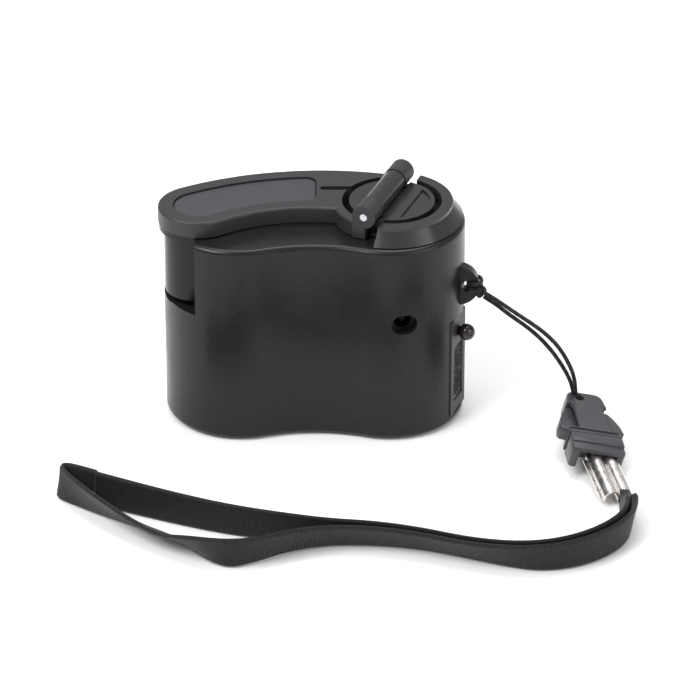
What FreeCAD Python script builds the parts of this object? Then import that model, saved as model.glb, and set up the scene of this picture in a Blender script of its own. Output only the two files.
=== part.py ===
"""A hand crank phone charger: a kidney-shaped generator box with a folding crank and a wrist strap.

Frame: millimetres, +Z up, origin at the middle of the base. +X runs along the box towards the phone
socket, -Y is the hollow front, and the crank is folded down over the top with its knob in the bay.
"""

import FreeCAD, Part
import math
import os
import re

import Sketcher
from FreeCAD import Placement, Rotation, Vector

doc = FreeCAD.newDocument("hand_crank_charger")
dims = doc.addObject("Spreadsheet::Sheet", "dims")

# Driving dimensions
DIMENSIONS = {
    # box
    "lobe_radius": 15.2,
    "lobe_centre": 14.8,
    "front_radius": 32.0,
    "back_radius": 152.0,
    "wall": 1.8,
    "skirt_gap": 0.3,
    "deck_height": 43.0,
    "deck_thickness": 2.0,
    "deck_edge": 1.1,
    "foot_edge": 1.3,
    "cover_thickness": 2.0,
    "cover_inset": 1.9,
    "fit_gap": 0.1,
    "beyond": 32.0,
    "half_depth": 18.0,
    # crank hub and hinge barrel
    "hub_x": 15.4,
    "hub_y": 0.2,
    "top_height": 46.5,
    "hub_gap": 0.2,
    "disc_radius": 8.5,
    "disc_step_width": 0.9,
    "disc_step_depth": 0.4,
    "hub_floor": 0.7,
    "ring_inner": 9.9,
    "ring_outer": 12.1,
    "collar_lip": 0.3,
    "flank_radius": 14.2,
    "shaft_radius": 2.0,
    "shaft_bottom": 37.7,
    "shaft_length": 8.0,
    "hub_screw_radius": 0.7,
    "hub_screw_head": 2.6,
    "barrel_x": 13.7,
    "barrel_y": 0.1,
    "barrel_height": 48.0,
    "barrel_turn": 21.3,
    "barrel_radius": 2.25,
    "barrel_half": 6.0,
    "pedestal_half": 1.7,
    "knuckle_radius": 2.4,
    "knuckle_start": 6.3,
    "knuckle_end": 10.9,
    "knuckle_room": 0.3,
    "fork_side": 0.35,
    "pin_radius": 0.73,
    "running_gap": 0.04,
    # crank bush
    "bush_wall": 0.9,
    "bush_flange_radius": 4.15,
    "bush_flange_depth": 0.5,
    "sleeve_radius": 4.6,
    "sleeve_depth": 0.5,
    "boss_radius": 2.4,
    "boss_depth": 0.3,
    # arm and knob
    "arm_thickness": 3.3,
    "knob_x": -22.7,
    "knob_y": -1.5,
    "arm_end_radius": 8.2,
    "arm_back_x": 1.4,
    "arm_back_y": -42.56,
    "arm_front_x": -1.0,
    "arm_front_y": -33.55,
    "fork_radius": 11.8,
    "arm_edge": 0.45,
    "panel_inset": 3.0,
    "inlay_inset": 3.1,
    "panel_depth": 1.0,
    "panel_sink": 0.35,
    "panel_corner": 2.2,
    "slot_x": 1.9,
    "slot_y": 5.3,
    "slot_width": 1.5,
    "slot_length": 8.0,
    "knob_radius": 7.1,
    "knob_bottom": 27.9,
    "knob_edge": 0.4,
    "knob_seat": 2.35,
    "knob_seat_radius": 2.9,
    "knob_pin_radius": 1.6,
    "knob_pin_let_in": 1.4,
    "knob_head_radius": 2.5,
    "knob_head_depth": 1.3,
    "flange_radius": 8.1,
    "flange_thickness": 1.2,
    "flange_room": 0.4,
    "bay_floor": 27.0,
    "bay_rim": 27.4,
    "bay_cut_x": -23.5,
    "bay_left_y": -6.6,
    "pocket_radius": 7.5,
    "swing_inner": 29.4,
    # gears: spur teeth of one module throughout, with heights counted from the gear plate's underside
    "gear_module": 0.5,
    "drive_teeth": 48,
    "pinion_teeth": 12,
    "wheel_teeth": 44,
    "step_teeth": 16,
    "step_wheel_teeth": 48,
    "gear_spacing": 15.0,
    "train_turn": 176.18,
    "train_pin_radius": 1.0,
    "plate_height": 30.1,
    "plate_thickness": 1.5,
    "plate_inset": 2.1,
    "pinion_low": 2.2,
    "step_low": 2.5,
    "step_mid": 4.2,
    "pinion_high": 4.3,
    "idler_low": 5.2,
    "step_high": 6.6,
    "idler_mid": 6.8,
    "drive_low": 7.6,
    "drive_high": 9.8,
    "idler_high": 10.2,
    # generator
    "can_radius": 9.5,
    "can_bottom": 11.2,
    "can_wall": 0.6,
    "core_bore": 7.0,
    "core_height": 12.0,
    "coil_gap": 0.5,
    "magnet_radius": 5.0,
    "rotor_radius": 1.0,
    "rotor_bush_radius": 2.0,
    # phone socket side
    "port_turn": -21.0,
    "port_width": 8.0,
    "port_low": 2.0,
    "port_high": 23.6,
    "port_face": 15.0,
    "panel_thickness": 1.3,
    "usb_low": 4.9,
    "usb_tall": 12.0,
    "usb_wide": 4.6,
    "sheet_metal": 0.3,
    "usb_deep": 13.0,
    "tongue_back": 2.0,
    "contact_pitch": 2.2,
    "contact_width": 1.0,
    "contact_thickness": 0.1,
    "led_radius": 1.7,
    "led_height": 20.0,
    "led_stem": 1.2,
    "board_thickness": 1.2,
    "board_low": 3.2,
    "board_high": 20.4,
    "capacitor_radius": 2.0,
    "capacitor_height": 7.5,
    "diode_pitch": 2.2,
    # round output socket in the front
    "jack_x": 17.9,
    "jack_height": 26.5,
    "jack_radius": 2.1,
    "jack_oval": 0.5,
    "jack_wall": 0.8,
    "jack_back": 5.2,
    "jack_length": 7.6,
    "jack_pin_radius": 0.55,
    # strap eye, cord, buckle, clamp and strap
    "eye_x": 28.6,
    "eye_y": -4.0,
    "eye_height": 30.0,
    "eye_radius": 4.2,
    "eye_hole": 1.25,
    "eye_hole_x": 2.0,
    "eye_width": 2.6,
    "cord_radius": 0.42,
    "wrap_radius": 1.75,
    "buckle_x": 55.2,
    "buckle_y": -23.3,
    "buckle_height": 4.25,
    "buckle_yaw": 9.0,
    "buckle_roll": 15.0,
    "buckle_pitch": 5.0,
    "buckle_width": 11.2,
    "buckle_rear_width": 7.2,
    "buckle_length": 14.4,
    "buckle_thickness": 5.0,
    "buckle_wall": 1.0,
    "cord_hole": 1.05,
    "cord_hole_x": -1.3,
    "cord_hole_back": 2.0,
    "window_start": 2.6,
    "window_end": 9.2,
    "window_side": 3.9,
    "throat_half": 4.75,
    "male_length": 5.3,
    "male_width": 12.4,
    "male_opening_half": 3.9,
    "prong_inner": 3.1,
    "prong_outer": 4.3,
    "prong_half_thickness": 1.2,
    "tongue_half": 0.9,
    "clamp_start": 3.2,
    "clamp_length": 13.4,
    "clamp_tube": 1.65,
    "clamp_sheet": 0.3,
    "clamp_apart": 1.52,
    "clamp_yaw": 6.3,
    "clamp_pitch": 8.0,
    "strap_height": 7.3,
    "strap_thickness": 0.9,
    # screws
    "screw_head_radius": 1.6,
    "screw_head_height": 0.9,
    "screw_radius": 0.8,
    "thread_bite": 0.15,
    "base_screw_length": 7.6,
    "cross_length": 1.8,
    "cross_width": 0.4,
    "plate_screw_head": 1.3,
    "plate_screw_length": 8.5,
    "post_radius": 2.2,
}
for row, (name, value) in enumerate(DIMENSIONS.items(), start=1):
    dims.set(f"A{row}", name)
    dims.set(f"B{row}", str(value))
    dims.setAlias(f"B{row}", name)
doc.recompute()


def dim(name):
    """The value of one driving dimension."""
    return float(dims.get(name))


def rule(text):
    """An expression in which each driving dimension's name points at its cell."""
    return re.sub(r"[a-z][a-z_]+", lambda m: f"dims.{m[0]}" if m[0] in DIMENSIONS else m[0], text)


def place(obj, at, turn=None):
    """Binds an object's position to the sheet and gives it a fixed turn."""
    if turn is not None:
        obj.Placement = Placement(Vector(), turn)
    for axis, text in zip("xyz", at):
        obj.setExpression(f"Placement.Base.{axis}", rule(text))
    return obj


def primitive(kind, name, at=("0", "0", "0"), turn=None, **sizes):
    """A Part primitive whose sizes and place are bound to the sheet."""
    obj = doc.addObject(f"Part::{kind}", name)
    for size, text in sizes.items():
        obj.setExpression(size, rule(text))
    return place(obj, at, turn)


def cylinder(name, radius, height, at, turn=None):
    return primitive("Cylinder", name, at, turn, Radius=radius, Height=height)


def block(name, length, width, height, at, turn=None):
    return primitive("Box", name, at, turn, Length=length, Width=width, Height=height)


def fuse(name, *shapes):
    obj = doc.addObject("Part::MultiFuse", name)
    obj.Shapes = list(shapes)
    return obj


def cut(name, base, *tools):
    obj = doc.addObject("Part::Cut", name)
    obj.Base = base
    obj.Tool = tools[0] if len(tools) == 1 else fuse(f"{name}_tools", *tools)
    return obj


def common(name, base, tool):
    obj = doc.addObject("Part::Common", name)
    obj.Base, obj.Tool = base, tool
    return obj


def feature(name, shape, placement=None):
    """A shape made in code, for forms that the sketches and primitives don't reach."""
    obj = doc.addObject("Part::Feature", name)
    obj.Shape = shape
    if placement is not None:
        obj.Placement = placement
    return obj


def edge_fillet(name, base, radius, chosen):
    """Rounds the chosen edges of an object."""
    doc.recompute()
    size = dim(radius) if isinstance(radius, str) else radius
    picked = [(i + 1, size, size) for i, e in enumerate(base.Shape.Edges) if chosen(e)]
    obj = doc.addObject("Part::Fillet", name)
    obj.Base = base
    obj.Edges = picked
    return obj


pieces = []


def piece(label, obj):
    """Names a finished sub-part and puts it on the list to write out."""
    obj.Label = label
    pieces.append(obj)
    return obj


def flat_at(z, within=0.01):
    """Picks edges that lie flat at one height."""
    return lambda e: abs(e.BoundBox.ZMin - z) < within and abs(e.BoundBox.ZMax - z) < within


def upright_at(x, within=0.01):
    """Picks edges that stand upright at one place along the box."""
    return lambda e: e.BoundBox.ZLength > 0.1 and abs(e.BoundBox.XMin - x) < within > abs(e.BoundBox.XMax - x)


ALONG_Y = Rotation(Vector(1, 0, 0), -90)


# The box's outline: two lobes, a hollow front and a nearly flat back, drawn at any inset
def kidney(name, inset, bottom, top):
    """A padded kidney outline, drawn in by inset, from one height to another."""
    body = doc.addObject("PartDesign::Body", name)
    plane = next(f for f in body.Origin.OriginFeatures if f.Role == "XY_Plane")
    sketch = body.newObject("Sketcher::SketchObject", f"{name}_outline")
    sketch.AttachmentSupport = [(plane, "")]
    sketch.MapMode = "FlatFace"
    sketch.setExpression("AttachmentOffset.Base.z", rule(bottom))
    lobe, centre = dim("lobe_radius"), dim("lobe_centre")
    front, back = dim("front_radius"), dim("back_radius")
    shrink = float(inset) if inset[0].isdigit() else dim(inset)
    front_y = -math.sqrt((lobe + front) ** 2 - centre**2)
    back_y = -math.sqrt((back - lobe) ** 2 - centre**2)
    front_angle = math.atan2(front_y, centre)
    back_angle = math.atan2(-back_y, -centre)
    normal = Vector(0, 0, 1)
    left = Part.Circle(Vector(-centre, 0, 0), normal, lobe - shrink)
    right = Part.Circle(Vector(centre, 0, 0), normal, lobe - shrink)
    hollow = Part.Circle(Vector(0, front_y, 0), normal, front + shrink)
    spine = Part.Circle(Vector(0, back_y, 0), normal, back - shrink)
    sketch.addGeometry(
        [
            Part.ArcOfCircle(left, back_angle, front_angle + 2 * math.pi),
            Part.ArcOfCircle(right, -math.pi - front_angle, math.pi - back_angle),
            Part.ArcOfCircle(hollow, -front_angle, front_angle + math.pi),
            Part.ArcOfCircle(spine, math.pi - back_angle, back_angle),
        ]
    )
    rules = [
        ("Tangent", 0, 2, 2, 2),
        ("Tangent", 2, 1, 1, 1),
        ("Tangent", 1, 2, 3, 1),
        ("Tangent", 3, 2, 0, 1),
        ("Symmetric", 0, 3, 1, 3, -1, 1),
        ("PointOnObject", 0, 3, -1),
        ("Equal", 0, 1),
    ]
    for entry in rules:
        sketch.addConstraint(Sketcher.Constraint(*entry))
    sized = [
        ("lobes_apart", "2 * lobe_centre", Sketcher.Constraint("DistanceX", 0, 3, 1, 3, 2 * centre)),
        ("lobe_size", f"lobe_radius - {inset}", Sketcher.Constraint("Radius", 0, lobe - shrink)),
        ("front_size", f"front_radius + {inset}", Sketcher.Constraint("Radius", 2, front + shrink)),
        ("back_size", f"back_radius - {inset}", Sketcher.Constraint("Radius", 3, back - shrink)),
    ]
    for label, text, constraint in sized:
        index = sketch.addConstraint(constraint)
        sketch.renameConstraint(index, label)
        sketch.setExpression(f"Constraints.{label}", rule(text))
    pad = body.newObject("PartDesign::Pad", f"{name}_pad")
    pad.Profile = sketch
    pad.setExpression("Length", rule(f"({top}) - ({bottom})"))
    return body


# Arm outline: a round end over the knob, a long outer arc and a long inner arc
def banana(name, inset, right_x, bottom, top):
    """A padded arm outline, drawn in by inset and cut off square at right_x."""
    body = doc.addObject("PartDesign::Body", name)
    plane = next(f for f in body.Origin.OriginFeatures if f.Role == "XY_Plane")
    sketch = body.newObject("Sketcher::SketchObject", f"{name}_outline")
    sketch.AttachmentSupport = [(plane, "")]
    sketch.MapMode = "FlatFace"
    sketch.setExpression("AttachmentOffset.Base.z", rule(bottom))
    end = Vector(dim("knob_x"), dim("knob_y"), 0)
    outer = Vector(dim("arm_back_x"), dim("arm_back_y"), 0)
    inner = Vector(dim("arm_front_x"), dim("arm_front_y"), 0)
    shrink = float(inset) if inset[0].isdigit() else dim(inset)
    end_radius = dim("arm_end_radius") - shrink
    outer_radius = (end - outer).Length + end_radius
    inner_radius = (end - inner).Length - end_radius
    outer_start = math.atan2(end.y - outer.y, end.x - outer.x)
    inner_start = math.atan2(end.y - inner.y, end.x - inner.x)
    outer_stop = math.acos((right_x - outer.x) / outer_radius)
    inner_stop = math.acos((right_x - inner.x) / inner_radius)
    normal = Vector(0, 0, 1)
    outer_point = Vector(right_x, outer.y + outer_radius * math.sin(outer_stop), 0)
    inner_point = Vector(right_x, inner.y + inner_radius * math.sin(inner_stop), 0)
    sketch.addGeometry(
        [
            Part.ArcOfCircle(Part.Circle(outer, normal, outer_radius), outer_stop, outer_start),
            Part.ArcOfCircle(Part.Circle(end, normal, end_radius), outer_start, inner_start + math.pi),
            Part.ArcOfCircle(Part.Circle(inner, normal, inner_radius), inner_stop, inner_start),
            Part.LineSegment(inner_point, outer_point),
        ]
    )
    rules = [
        ("Tangent", 0, 2, 1, 1),
        ("Tangent", 1, 2, 2, 2),
        ("Coincident", 2, 1, 3, 1),
        ("Coincident", 3, 2, 0, 1),
        ("Vertical", 3),
    ]
    for entry in rules:
        sketch.addConstraint(Sketcher.Constraint(*entry))
    sized = [
        ("end_size", f"arm_end_radius - {inset}", Sketcher.Constraint("Radius", 1, end_radius)),
        ("end_x", "-knob_x", Sketcher.Constraint("DistanceX", 1, 3, -1, 1, -end.x)),
        ("end_y", "-knob_y", Sketcher.Constraint("DistanceY", 1, 3, -1, 1, -end.y)),
        ("outer_y", "-arm_back_y", Sketcher.Constraint("DistanceY", 0, 3, -1, 1, -outer.y)),
        ("outer_x", "arm_back_x", Sketcher.Constraint("DistanceX", -1, 1, 0, 3, outer.x)),
        ("inner_y", "-arm_front_y", Sketcher.Constraint("DistanceY", 2, 3, -1, 1, -inner.y)),
        ("inner_x", "-arm_front_x", Sketcher.Constraint("DistanceX", 2, 3, -1, 1, -inner.x)),
    ]
    for label, text, constraint in sized:
        index = sketch.addConstraint(constraint)
        sketch.renameConstraint(index, label)
        sketch.setExpression(f"Constraints.{label}", rule(text))
    pad = body.newObject("PartDesign::Pad", f"{name}_pad")
    pad.Profile = sketch
    pad.setExpression("Length", rule(f"({top}) - ({bottom})"))
    return body


# Directions used more than once
BARREL_TURN = Rotation(Vector(0, 0, 1), -dim("barrel_turn"))
BARREL_LINE = BARREL_TURN.multiply(ALONG_Y)
BARREL_ALONG = BARREL_TURN.multVec(Vector(0, 1, 0))
PORT_TURN = Rotation(Vector(0, 0, 1), dim("port_turn"))
PORT_OUT = PORT_TURN.multVec(Vector(1, 0, 0))
TRAIN_ANGLE = math.radians(dim("train_turn"))
TRAIN = Vector(
    dim("hub_x") + dim("gear_spacing") * math.cos(TRAIN_ANGLE),
    dim("hub_y") + dim("gear_spacing") * math.sin(TRAIN_ANGLE),
    0,
)
TRAIN_X = "hub_x + gear_spacing * cos(train_turn)"
TRAIN_Y = "hub_y + gear_spacing * sin(train_turn)"


def on_train(z):
    """A place on the generator's axis."""
    return (TRAIN_X, TRAIN_Y, z)


def on_hub(z):
    """A place on the crank's axis."""
    return ("hub_x", "hub_y", z)


def along_barrel(distance, radius, length, name):
    """A cylinder on the hinge line, starting at a distance from its middle towards the back."""
    start = Vector(dim("barrel_x"), dim("barrel_y"), dim("barrel_height")) + BARREL_ALONG * distance
    obj = doc.addObject("Part::Cylinder", name)
    obj.setExpression("Radius", rule(radius))
    obj.Height = length
    obj.Placement = Placement(start, BARREL_LINE)
    return obj


def beside_barrel(name, across, along, low, high):
    """A block given across the hinge line, along it and by height."""
    corner = BARREL_TURN.multVec(Vector(across[0], along[0], 0))
    obj = doc.addObject("Part::Box", name)
    obj.Length, obj.Width = across[1] - across[0], along[1] - along[0]
    obj.setExpression("Height", rule(f"({high}) - ({low})"))
    base = Vector(dim("barrel_x"), dim("barrel_y"), 0) + corner
    obj.Placement = Placement(base, BARREL_TURN)
    obj.setExpression("Placement.Base.z", rule(low))
    return obj


def by_port(name, out, across, low, high):
    """A block in the phone socket's own directions: outwards from the lobe's axis, across, and up."""
    corner = PORT_TURN.multVec(Vector(out[0], across[0], 0)) + Vector(dim("lobe_centre"), 0, 0)
    obj = doc.addObject("Part::Box", name)
    obj.Length, obj.Width = out[1] - out[0], across[1] - across[0]
    obj.setExpression("Height", rule(f"({high}) - ({low})"))
    obj.Placement = Placement(corner, PORT_TURN)
    obj.setExpression("Placement.Base.z", rule(low))
    return obj


# Screw posts inside the box, two at the front wall and two at the back wall
POSTS = [(-7.5, -9.9), (-7.5, 12.1), (11.0, -10.9), (12.5, 11.7)]


def at_posts(name, radius, length, low):
    """One like cylinder at each screw post."""
    return [cylinder(f"{name}_{n}", radius, length, (str(x), str(y), low)) for n, (x, y) in enumerate(POSTS)]


def bay_tools():
    """What is cut from the box for the folded knob: a round pocket, its open left end and the way out."""
    pocket = cylinder("knob_pocket", "pocket_radius", "beyond", ("knob_x", "knob_y", "bay_floor"))
    flange_room = cylinder(
        "flange_room_round", "flange_radius + flange_room", "beyond",
        ("knob_x", "knob_y", "deck_height - flange_thickness - flange_room"),
    )
    end_cut = block(
        "bay_end_cut", "beyond + bay_cut_x", "2 * half_depth", "beyond",
        ("-beyond", "-half_depth", "bay_rim"),
    )
    left_wide = "beyond + bay_cut_x"
    back_cut = block("bay_back_block", "beyond - 8", "half_depth", "beyond", ("-beyond", "knob_y", "bay_floor"))
    left_at = ("-beyond", "bay_left_y", "bay_floor")
    left_cut = block("bay_left_block", left_wide, "-bay_left_y", "beyond", left_at)
    swing_core = cylinder("swing_core", "swing_inner", "2 * beyond", on_hub("0"))
    swing_cut = cut("bay_swing", fuse("bay_open_blocks", back_cut, left_cut), swing_core)
    return [pocket, flange_room, end_cut, swing_cut]


def make_housing():
    """The one-piece black shell: deck, bay for the knob, strap eye and socket openings."""
    outer = kidney("housing_outer", "0.0", "skirt_gap", "deck_height")
    outer = edge_fillet("housing_rounded", outer, "foot_edge", flat_at(dim("skirt_gap")))
    outer = edge_fillet("housing_softened", outer, "deck_edge", flat_at(dim("deck_height")))
    under_deck = "deck_height - deck_thickness"
    hollow = kidney("housing_hollow", "wall", "0.0", under_deck)
    # the bay's own walls stand in the hollow
    bay_block = block(
        "bay_block", "beyond - 8", "2 * half_depth", "beyond", ("-beyond", "-half_depth", "bay_floor - wall")
    )
    inside = cylinder("bay_block_side", "swing_inner - wall", "2 * beyond", on_hub("0"))
    hollow = cut("housing_hollow_right", hollow, cut("bay_walls", bay_block, inside))
    eye = cylinder(
        "strap_eye", "eye_radius", "eye_width", ("eye_x", "eye_y - eye_width / 2", "eye_height"), ALONG_Y
    )
    shell = cut("housing_shell", fuse("housing_with_eye", outer, eye), hollow)
    shell = cut("housing_with_bay", shell, *bay_tools())
    posts = at_posts("screw_post", "post_radius", "plate_height - cover_thickness", "cover_thickness")
    # a sleeve under the deck holds the crank's bush, and a boss holds the idler's pin
    sleeve_low = on_hub(f"{under_deck} - sleeve_depth")
    sleeve = cylinder("bush_sleeve", "sleeve_radius", "sleeve_depth + 0.1", sleeve_low)
    boss = cylinder("idler_boss", "boss_radius", "boss_depth + 0.1", on_train(f"{under_deck} - boss_depth"))
    solid = fuse("housing_solid", shell, sleeve, boss, *posts)
    pilot = "screw_radius - thread_bite"
    eye_hole_at = ("eye_x + eye_hole_x", "eye_y - eye_width", "eye_height")
    side, low, high = 4.0, "usb_low - 0.4", "usb_low + usb_tall + 0.4"
    led_side = 1.4
    flange_low = on_hub("deck_height - bush_flange_depth")
    holes = [
        cylinder("bush_hole", "shaft_radius + bush_wall", "2 * deck_thickness", on_hub("deck_height - 4")),
        cylinder("bush_flange_seat", "bush_flange_radius + 0.05", "3", flange_low),
        cylinder("idler_pin_hole", "train_pin_radius", "2.4", on_train("deck_height - 3.2")),
        cylinder("strap_eye_hole", "eye_hole", "2 * eye_width", eye_hole_at, ALONG_Y),
        by_port("panel_seat", (dim("port_face") - 1.4, 18), (-side, side), "port_low", "port_high"),
        by_port("usb_passage", (6, 18), (-2.75, 2.75), low, high),
        by_port("led_passage", (6, 18), (-led_side, led_side), "led_height - 1.4", "led_height + 1.4"),
    ]
    holes += at_posts("cover_screw_hole", pilot, "9", "0")
    holes += at_posts("plate_screw_hole", pilot, "9", "plate_height - 8")
    piece("housing", cut("housing_final", solid, *holes, *jack_opening("housing_jack")))


def jack_direction():
    """Which way the front socket faces: square to the right lobe's face at its place."""
    direction = Vector(dim("jack_x") - dim("lobe_centre"), 0, 0)
    direction.y = -math.sqrt(dim("lobe_radius") ** 2 - direction.x**2)
    return direction.normalize()


def jack_cylinder(name, radius, start, length, aside=0.0):
    """A cylinder on the front socket's line, starting at a distance from the lobe's axis."""
    direction = jack_direction()
    side = Vector(-direction.y, direction.x, 0) * aside
    obj = doc.addObject("Part::Cylinder", name)
    obj.setExpression("Radius", rule(radius))
    obj.setExpression("Height", rule(length))
    base = Vector(dim("lobe_centre"), 0, 0) + direction * start + side
    obj.Placement = Placement(base, Rotation(Vector(0, 0, 1), direction))
    obj.setExpression("Placement.Base.z", rule("jack_height"))
    return obj


def jack_opening(name):
    """Two overlapping bores that make the front socket's oval hole."""
    start = dim("jack_back") + dim("jack_length") - 0.4
    return [
        jack_cylinder(f"{name}_{n}", "jack_radius", start, "5", shift * dim("jack_oval"))
        for n, shift in enumerate((-1, 1))
    ]


def make_base():
    """The cover under the box, set inside the wall, and its four screws."""
    plate = kidney("cover_plate", "cover_inset", "0.0", "cover_thickness")
    sink = "0.2"
    seat_depth = f"screw_head_height + 2 * {sink}"
    seats = at_posts("cover_head_seat", "screw_head_radius + fit_gap", seat_depth, f"-{sink}")
    shanks = at_posts("cover_shank_hole", "screw_radius + fit_gap", "2 * cover_thickness", "-1")
    piece("base_cover", cut("base_cover_final", plate, *seats, *shanks))
    heads = at_posts("base_screw_head", "screw_head_radius", "screw_head_height", sink)
    pilot = "screw_radius - thread_bite"
    bodies = at_posts("base_screw_shank", pilot, "base_screw_length", f"screw_head_height + {sink}")
    screws = []
    recess = [("slot", "cross_length", "cross_width"), ("cross", "cross_width", "cross_length")]
    for n, (x, y) in enumerate(POSTS):
        bars = [
            block(
                f"base_screw_{label}_{n}", wide, deep, "0.6", (f"{x} - {wide} / 2", f"{y} - {deep} / 2", "0")
            )
            for label, wide, deep in recess
        ]
        screws.append(cut(f"base_screw_{n}", fuse(f"base_screw_body_{n}", heads[n], bodies[n]), *bars))
    group("base_screws", screws)


def group(label, objects):
    """Several like solids under one name."""
    obj = doc.addObject("Part::Compound", f"{label}_group")
    obj.Links = objects
    return piece(label, obj)


def make_hub():
    """The turning hub on the deck: disc, groove, raised collar with its flank, and the hinge barrel."""
    low = "deck_height + hub_gap"
    tall = f"top_height - ({low})"
    far = 20
    collar_side, floor_side, step_side = 3.1, 0.5, 5.6
    disc = cylinder("hub_disc", "disc_radius", tall, on_hub(low))
    floor = cylinder("hub_floor_round", "ring_inner", "hub_floor", on_hub(low))
    collar = cylinder("collar_outer", "ring_outer", tall, on_hub(low))
    flank = primitive(
        "Cone", "collar_flank", on_hub(low), Radius1="flank_radius", Radius2="ring_outer - collar_lip",
        Height=f"{tall} - collar_lip - 0.05",
    )
    groove = cylinder("collar_inner", "ring_inner", "9", on_hub(f"{low} + hub_floor"))
    ring = cut("collar_ring", fuse("collar_solid", collar, flank), groove)
    # the collar stands only on the side that the folded arm leaves free
    left_side = beside_barrel("collar_left", (-far, collar_side), (-far, far), low, "top_height + 1")
    ring = cut("collar_right", ring, left_side)
    floor_cut = beside_barrel("hub_floor_left", (-far, floor_side), (-far, far), low, "top_height")
    floor = fuse("hub_floor_all", cut("hub_floor_right", floor, floor_cut), disc)
    step_low = on_hub("top_height - disc_step_depth")
    step_round = cylinder("disc_step_round", "disc_radius - disc_step_width", "disc_step_depth", step_low)
    step_cut = beside_barrel(
        "disc_step_left", (-far, step_side), (-far, far), "top_height - 1", "top_height + 1"
    )
    step = cut("disc_step", step_round, step_cut)
    half, pedestal_half = dim("barrel_half"), dim("pedestal_half")
    barrel = along_barrel(-half, "barrel_radius", 2 * half, "hub_barrel")
    pedestal = beside_barrel(
        "barrel_pedestal", (-pedestal_half, pedestal_half), (-half, half), "top_height - 1", "barrel_height"
    )
    body = cut("hub_body", fuse("hub_joined", floor, ring, barrel, pedestal), step)
    start, reach = dim("knuckle_start") - 0.2, 7.0
    shaft_room = "shaft_bottom + shaft_length - (deck_height + hub_gap)"
    rooms = [
        along_barrel(start, "knuckle_radius + knuckle_room", reach, "knuckle_room_back"),
        along_barrel(-start - reach, "knuckle_radius + knuckle_room", reach, "knuckle_room_front"),
        along_barrel(-2 * half, "pin_radius + running_gap", 4 * half, "hub_pin_bore"),
        cylinder("hub_shaft_bore", "shaft_radius", shaft_room, on_hub(low)),
    ]
    piece("crank_hub", cut("crank_hub_final", body, *rooms))
    make_crank_shaft()


def make_crank_shaft():
    """The steel crank shaft, the screw that holds the drive gear on it, and its bush in the deck."""
    shaft = cylinder("hub_shaft_round", "shaft_radius", "shaft_length", on_hub("shaft_bottom"))
    thread = cylinder("hub_shaft_thread", "hub_screw_radius", "5", on_hub("shaft_bottom - 1"))
    piece("hub_shaft", cut("hub_shaft_final", shaft, thread))
    head = cylinder("hub_screw_head_round", "hub_screw_head", "0.6", on_hub("shaft_bottom - 0.6"))
    shank = cylinder("hub_screw_shank", "hub_screw_radius", "3.8", on_hub("shaft_bottom"))
    piece("hub_screw", fuse("hub_screw_final", head, shank))
    low = "deck_height - deck_thickness - sleeve_depth"
    tall = "deck_thickness + sleeve_depth + 0.05"
    tube = cylinder("bush_tube", "shaft_radius + bush_wall", tall, on_hub(low))
    flange_low = on_hub("deck_height - bush_flange_depth")
    flange = cylinder("bush_flange", "bush_flange_radius", "bush_flange_depth + fit_gap", flange_low)
    bore = cylinder("bush_bore", "shaft_radius + running_gap", "6", on_hub("deck_height - 4"))
    piece("hub_bush", cut("hub_bush_final", fuse("bush_solid", tube, flange), bore))


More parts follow.
